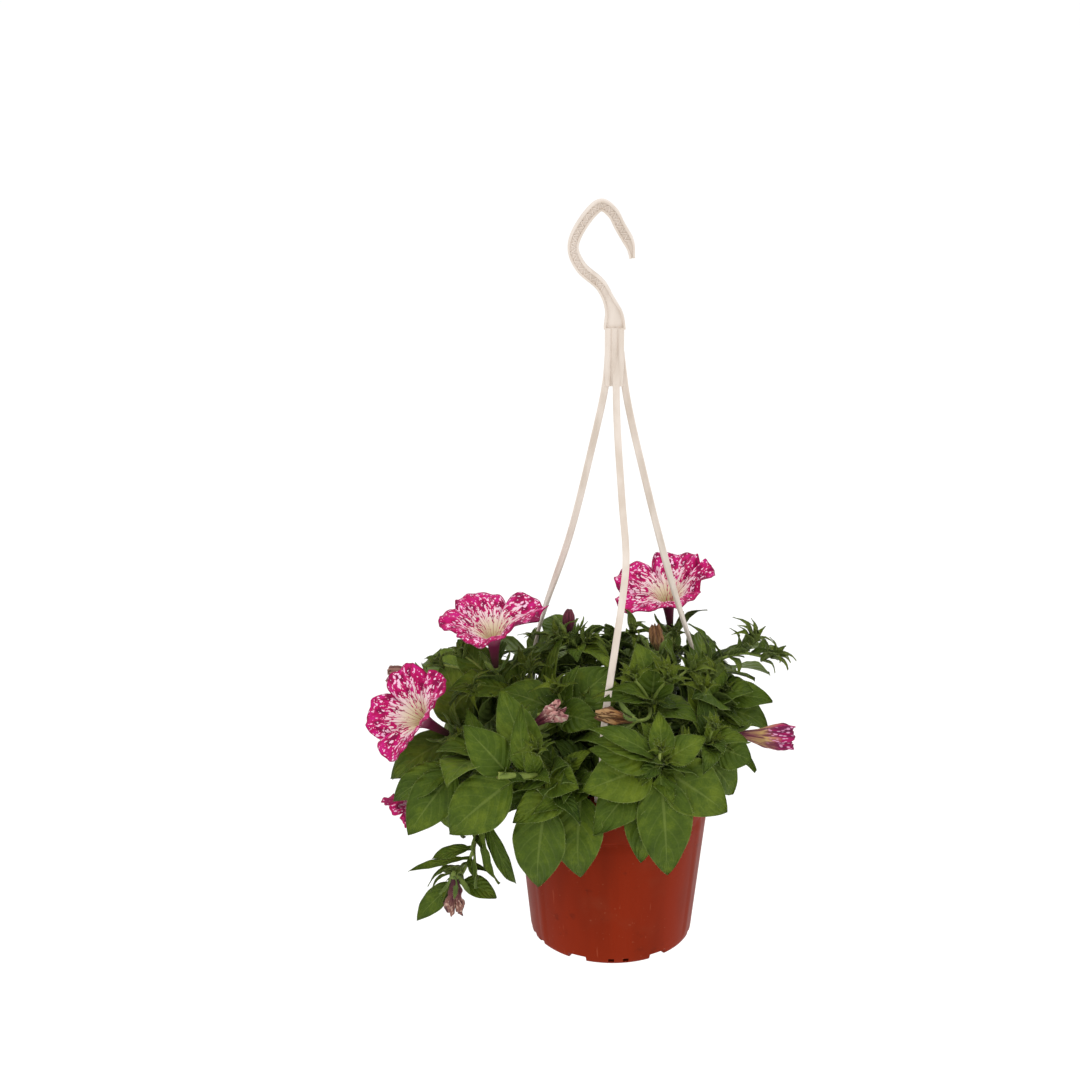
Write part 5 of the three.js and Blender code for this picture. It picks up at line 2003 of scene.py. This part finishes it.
@dataclass
class Plant:
    """The whole plant: leafy stems, calyxes, blooms, extra leaves wherever there is room, and hairs."""

    stems: tuple[Stem, ...] = STEMS
    blooms: tuple[OpenBloom | ClosedBloom, ...] = BLOOMS
    tries: int = 150
    clearance: float = 3.0
    roof: float = 221.0
    widest: float = 118.0
    lowest: float = 84.0
    hair_length: float = 1.0
    hair_radius: float = 0.07
    calyx: Calyx = field(default_factory=Calyx)
    pot: Pot = field(default_factory=Pot)
    hanger: Hanger = field(default_factory=Hanger)

    def allowed(self, points: Array) -> bool:
        """Checks that a new leaf stays inside the plant's dome and clear of the pot.

        Args:
            points: The leaf's samples.

        Returns:
            Whether it may grow there.
        """
        reach = np.hypot(points[:, 0], points[:, 1])
        azimuth = np.degrees(np.arctan2(points[:, 0], -points[:, 1]))
        height = points[:, 2]
        roof = self.roof - 0.5 * np.clip(reach - 55, 0, None)
        in_pot = (reach < self.pot.rim_radius + 6) & (height < self.pot.height + 3)
        over_front = (np.abs(azimuth) < 80) & (reach > 60) & (height < 134)
        far = (reach > self.widest) | (height < self.lowest) | (height > roof)
        return not (in_pot | over_front | far).any()

    def room(self) -> Array:
        """Finds what new leaves keep clear of.

        Returns:
            Points on the straps and the blooms.
        """
        points = [bloom.samples() for bloom in self.blooms]
        for azimuth, path in self.hanger.straps:
            line = self.hanger.strap_line(azimuth, path)
            points.append(np.array([line.at(share) for share in np.linspace(0.5, 1, 60)]))
        return np.concatenate(points)

    def extra(self, stem: Stem, line: Line, taken: Array, seed: int) -> tuple[list[Blade], Array]:
        """Leaves that grow on a stem wherever there is room.

        Args:
            stem: The stem; not used.
            line: Its middle.
            taken: Points that are no longer free.
            seed: Names the stream of draws.

        Returns:
            The new leaves, and the taken points with theirs.
        """
        draw, made = draws(seed), []
        for i in range(self.tries):
            share = 0.3 + 0.68 * draw()
            heading, climb = 2 * math.pi * draw(), math.radians(-25 + 85 * draw())
            base = line.at(share)
            long = (15 + 30 * draw()) * (1.2 - 0.4 * share)
            way = unit(np.array([math.cos(heading), math.sin(heading), math.tan(climb)]))
            tip = base + long * unit(way + np.array([base[0], base[1], 0]) / 120)
            leaf = Blade(
                base, tip, long * (0.4 + 0.18 * draw()), -25 + 50 * draw(), tone=draw() * 0.8,
                phase=6 * draw(), curl=0.16 * draw(), wave=0.02 + 0.04 * draw(), stalk=1.2, quilting=0.0,
            )
            points = leaf.samples()
            if not self.allowed(points):
                continue
            gaps = np.linalg.norm(points[:, None, :] - taken[None, :, :], axis=2)
            if gaps.min() < self.clearance:
                continue
            made.append(leaf)
            taken = np.concatenate([taken, points])
        return made, taken

    def tuft(self, line: Line, share: float, seed: int, count: int = 11, size: float = 15.0) -> list[Blade]:
        """The small young leaves round a growing tip.

        Args:
            line: The stem or shoot that ends there.
            share: Where on it the tuft is.
            seed: Names the stream of draws.
            count: How many leaves it has.
            size: The length of its longest leaves.

        Returns:
            The leaves.
        """
        draw, made = draws(seed), []
        base, along = line.at(share), unit(line.along(share) + 0.8 * UP)
        u, v = polar_ways(along)
        for i in range(count):
            angle = math.radians(GOLDEN_ANGLE * i + 40 * draw())
            opening = 0.35 + 0.85 * i / count
            way = unit(along + opening * (math.cos(angle) * u + math.sin(angle) * v))
            long = size * (0.55 + 0.45 * i / count) * (0.8 + 0.4 * draw())
            root = base - along * i * 0.5
            made.append(Blade(
                root, root + long * way, long * 0.3, form=Outline.LANCE, arch=-0.02 + 0.16 * draw(), fold=0.4,
                curl=0.1 + 0.45 * draw(), tone=0.7 + 0.5 * draw(), phase=i, thickness=0.6, stalk=1.0,
                quilting=0.0,
            ))
        return made

    def side_shoots(self, stem: Stem, line: Line, seed: int) -> list[Line]:
        """Short side shoots near a stem's end, where the plant's dome has room for their tips.

        Args:
            stem: The stem.
            line: Its middle.
            seed: Names the stream of draws.

        Returns:
            The middle of each shoot.
        """
        draw = draws(900 + seed)
        made = []
        for share, x, y, z in stem.shoots:
            base, tip = line.at(share), np.array((x, y, z), float)
            made.append(Line([base, (base + tip) / 2 + 2.0 * UP, tip]))
        if stem.pruned or stem.bare:
            return made
        for i in range(8):
            share = 0.62 + 0.33 * draw()
            base = line.at(share)
            heading = 2 * math.pi * draw()
            out = np.array([math.cos(heading), math.sin(heading), 0.0])
            long = 15 + 14 * draw()
            tip = base + long * unit(0.55 * out + UP + 0.3 * unit(np.array([base[0], base[1], 1e-3])))
            if len(made) < 3 + len(stem.shoots) and self.allowed(np.stack([tip, tip + 9 * UP])):
                made.append(Line([base, (base + tip) / 2 + 0.12 * long * out, tip]))
        return made

    def add_stub(self, shapes: Shapes, line: Line, radius: float) -> None:
        """Adds the thick end of the pruned stem, with its pale round cut.

        Args:
            shapes: The stem's piece.
            line: The stem's middle.
            radius: The stem's radius.
        """
        shares = np.linspace(0.62, 1, 12)
        steps = np.linspace(0, 1, 12)[:, None]
        lean = np.array([-1.5, -5.5, 3.5])
        centres = np.array([line.at(share) for share in shares]) + lean * steps**0.7
        radii = radius * (0.92 + 0.2 * np.sin(2.6 * np.linspace(0, np.pi, 12)) ** 2)
        shapes.add(tube(centres, radii, 14), 1, tone=0.55)
        way = unit(line.along(1.0) - np.array([0.0, 0.75, -0.1]))
        end = centres[-1]
        reach = np.array([0.9, 1.18, 1.2, 1.0, 0.55, 0.15]) * radius
        along = np.array([-1.2, -0.6, 0.35, 0.6, 0.35, 0.3])
        shapes.add(tube(end + along[:, None] * way, reach, 14), 1, tone=1.1)

    def hairs(self, roots: Array, ways: Array, length: float, seed: int) -> Solid:
        """Short stiff hairs, each a slim closed spike.

        Args:
            roots: Where they grow.
            ways: The ways that they point.
            length: Their mean length.
            seed: Names the stream of draws.

        Returns:
            The points and the faces.
        """
        draw = np.random.default_rng(seed)
        ways = units(units(ways) + draw.normal(0, 0.25, ways.shape))
        u = units(np.cross(ways, UP + 0.01))
        v = np.cross(ways, u)
        tips = roots + ways * (length * draw.uniform(0.6, 1.3, len(roots)))[:, None]
        corners = [
            roots + self.hair_radius * (math.cos(a) * u + math.sin(a) * v) - 0.1 * ways
            for a in (0, 2.094, 4.189)
        ]
        points = np.stack([*corners, tips], 1).reshape(-1, 3)
        faces = []
        for k in range(0, len(points), 4):
            faces += [(k, k + 2, k + 1), (k, k + 1, k + 3), (k + 1, k + 2, k + 3), (k + 2, k, k + 3)]
        return points, faces

    def rod_hairs(self, centres: Array, radius: float, count: int, seed: int) -> tuple[Array, Array]:
        """Finds where hairs grow on a stem.

        Args:
            centres: Points along its middle.
            radius: Its radius.
            count: How many hairs it has.
            seed: Names the stream of draws.

        Returns:
            The places, and the way that a hair points at each.
        """
        draw = np.random.default_rng(seed)
        place = draw.uniform(0, len(centres) - 1.001, count)
        k = place.astype(int)
        middle = centres[k] + (place - k)[:, None] * (centres[k + 1] - centres[k])
        way = centres[k + 1] - centres[k]
        out = units(np.cross(way, draw.normal(0, 1, (count, 3))))
        return middle + radius * 0.95 * out, out

    def build(self) -> None:
        """Grows every stem with its leaves and dresses them, then the blooms."""
        # The more often a leaf is repeated, the fewer faces it has.
        large, small, plain, tiny = Sheet(8, 26), Sheet(6, 14), Sheet(4, 6), Sheet(2, 6)
        skins = [LeafSkin().material(), StemSkin().material(), HairGloss().material()]
        lines = [stem.line() for stem in self.stems]
        grown = [stem.blades(line) for stem, line in zip(self.stems, lines)]
        taken = np.concatenate([self.room(), *[leaf.samples() for leaves in grown for leaf in leaves]])
        for k, (stem, line, leaves) in enumerate(zip(self.stems, lines, grown)):
            shapes = Shapes()
            steps = np.linspace(0, 1, max(24, int(line.length / 3)))
            centres = np.array([line.at(share) for share in steps])
            bumps = 1 + 0.1 * np.exp(-((((steps * 9) % 1) - 0.5) / 0.12) ** 2)
            taper = 1 - 0.3 * steps * (not stem.pruned)
            shapes.add(tube(centres, stem.radius * taper * bumps, 12), 1, tone=0.35)
            if stem.pruned:
                self.add_stub(shapes, line, stem.radius)
            extra, taken = self.extra(stem, line, taken, 100 + k)
            for i, leaf in enumerate(leaves):
                leaf.add_to(shapes, large if i < len(stem.stated) else small)
            shoots = self.side_shoots(stem, line, k)
            sizes = [19.0] * len(stem.shoots) + [12.0] * len(shoots)
            tips = [self.tuft(shoot, 1.0, 700 + 10 * k + i, 9, sizes[i]) for i, shoot in enumerate(shoots)]
            if not stem.pruned:
                tips.append(self.tuft(line, 1.0, 300 + k))
            for shoot in shoots:
                middle = np.array([shoot.at(share) for share in np.linspace(0, 1, 8)])
                shapes.add(tube(middle, np.linspace(1.2, 0.8, 8), 8), 1, tone=0.5)
            young = [leaf for tip in tips for leaf in tip]
            for leaf in extra:
                leaf.add_to(shapes, plain)
            for leaf in young:
                leaf.add_to(shapes, tiny)
            edges = [leaf.margin(44) for leaf in leaves] + [leaf.margin(20) for leaf in extra]
            edges += [leaf.margin(10) for leaf in young]
            edges.append(self.rod_hairs(centres, stem.radius * 0.85, 220, k))
            for bloom in self.blooms:
                if bloom.stem == stem.name:
                    base, axis = np.array(bloom.base, float), unit(np.array(bloom.axis, float))
                    sepals = self.calyx.add_to(shapes, small, line, bloom.share, base, axis)
                    edges += [sepal.margin(30) for sepal in sepals]
            roots, ways = (np.concatenate(group) for group in zip(*edges))
            shapes.add(self.hairs(roots, ways, self.hair_length, 500 + k), 2)
            settle(shapes.piece("leafy_" + stem.name, skins), [stem.name])
        velvet = SpeckledPetal().material()
        for bloom in self.blooms:
            if isinstance(bloom, OpenBloom):
                bloom.build(velvet)
            else:
                bloom.build()


# ---- Studio and camera ----
@dataclass(frozen=True)
class Studio:
    """A pale floor below the hanging pot, soft light from all sides and three large soft boxes.

    A box is its name, its place, its width and its power, in metres and watts.
    """

    floor_drop: float = 420.0
    floor_size: float = 14.0
    camera_place: Point = (-50.0, -1600.0, 948.0)
    camera_tilt: float = 67.73
    lens: float = 86.67
    boxes: tuple[tuple[str, Point, float, float], ...] = (
        ("key_box", (-1.3, -1.6, 1.5), 1.6, 9.0),
        ("fill_box", (1.7, -1.2, 0.6), 1.4, 5.0),
        ("top_box", (0.2, 0.5, 1.8), 1.4, 6.0),
    )
    aim: Point = (0.0, 0.0, -0.35)
    room_light: float = 1.05
    board: str = "#FBFBFA"
    board_light: str = "#FEFEFD"

    def camera(self) -> None:
        """The camera, in front of the basket and a little above its rim."""
        made = placed("camera", bpy.data.cameras.new("camera"))
        made.data.lens = self.lens
        made.data.sensor_width = 36.0
        made.data.clip_end = 50.0
        made.location = to_row(self.camera_place)
        made.rotation_euler = (math.radians(self.camera_tilt), 0.0, 0.0)
        bpy.context.scene.camera = made

    def light(self) -> None:
        """The soft boxes and the light of the white room."""
        for name, place, size, power in self.boxes:
            lamp = bpy.data.lights.new(name, "AREA")
            lamp.size = size
            lamp.energy = power
            made = placed(name, lamp)
            made.location = place
            made.rotation_euler = (Vector(self.aim) - made.location).to_track_quat("-Z", "Y").to_euler()
        world = bpy.data.worlds.new("white_room")
        bpy.context.scene.world = world
        world.use_nodes = True
        backdrop = world.node_tree.nodes["Background"]
        backdrop.inputs["Color"].default_value = srgb("#FFFFFF")
        backdrop.inputs["Strength"].default_value = self.room_light
        bpy.context.scene.view_settings.view_transform = "Standard"

    def floor(self) -> None:
        """The floor, a plane of matt white board."""
        made = primitive(bpy.ops.mesh.primitive_plane_add, size=self.floor_size)
        made.name = "floor"
        made.data.transform(made.matrix_world)
        for vertex in made.data.vertices:
            vertex.co.z = to_row((0, 0, -self.floor_drop))[2]
        s = Shader("matt_white_board", Roughness=0.9)
        place = s.add("TexCoord").outputs["Object"]
        grain = s.add("TexNoise", {"Vector": place, "Scale": 60.0})
        colour = s.add("ValToRGB", {0: grain}, ((0.0, self.board), (1.0, self.board_light)))
        made.data.materials.append(s.done(colour))


def main() -> None:
    """Builds the studio and every piece, in order."""
    logging.basicConfig(level=logging.INFO, format="%(name)s: %(message)s")
    studio = Studio()
    studio.camera()
    studio.light()
    studio.floor()
    Pot().build()
    Soil().build()
    Hanger().build()
    Plant().build()


if __name__ == "__main__":
    main()
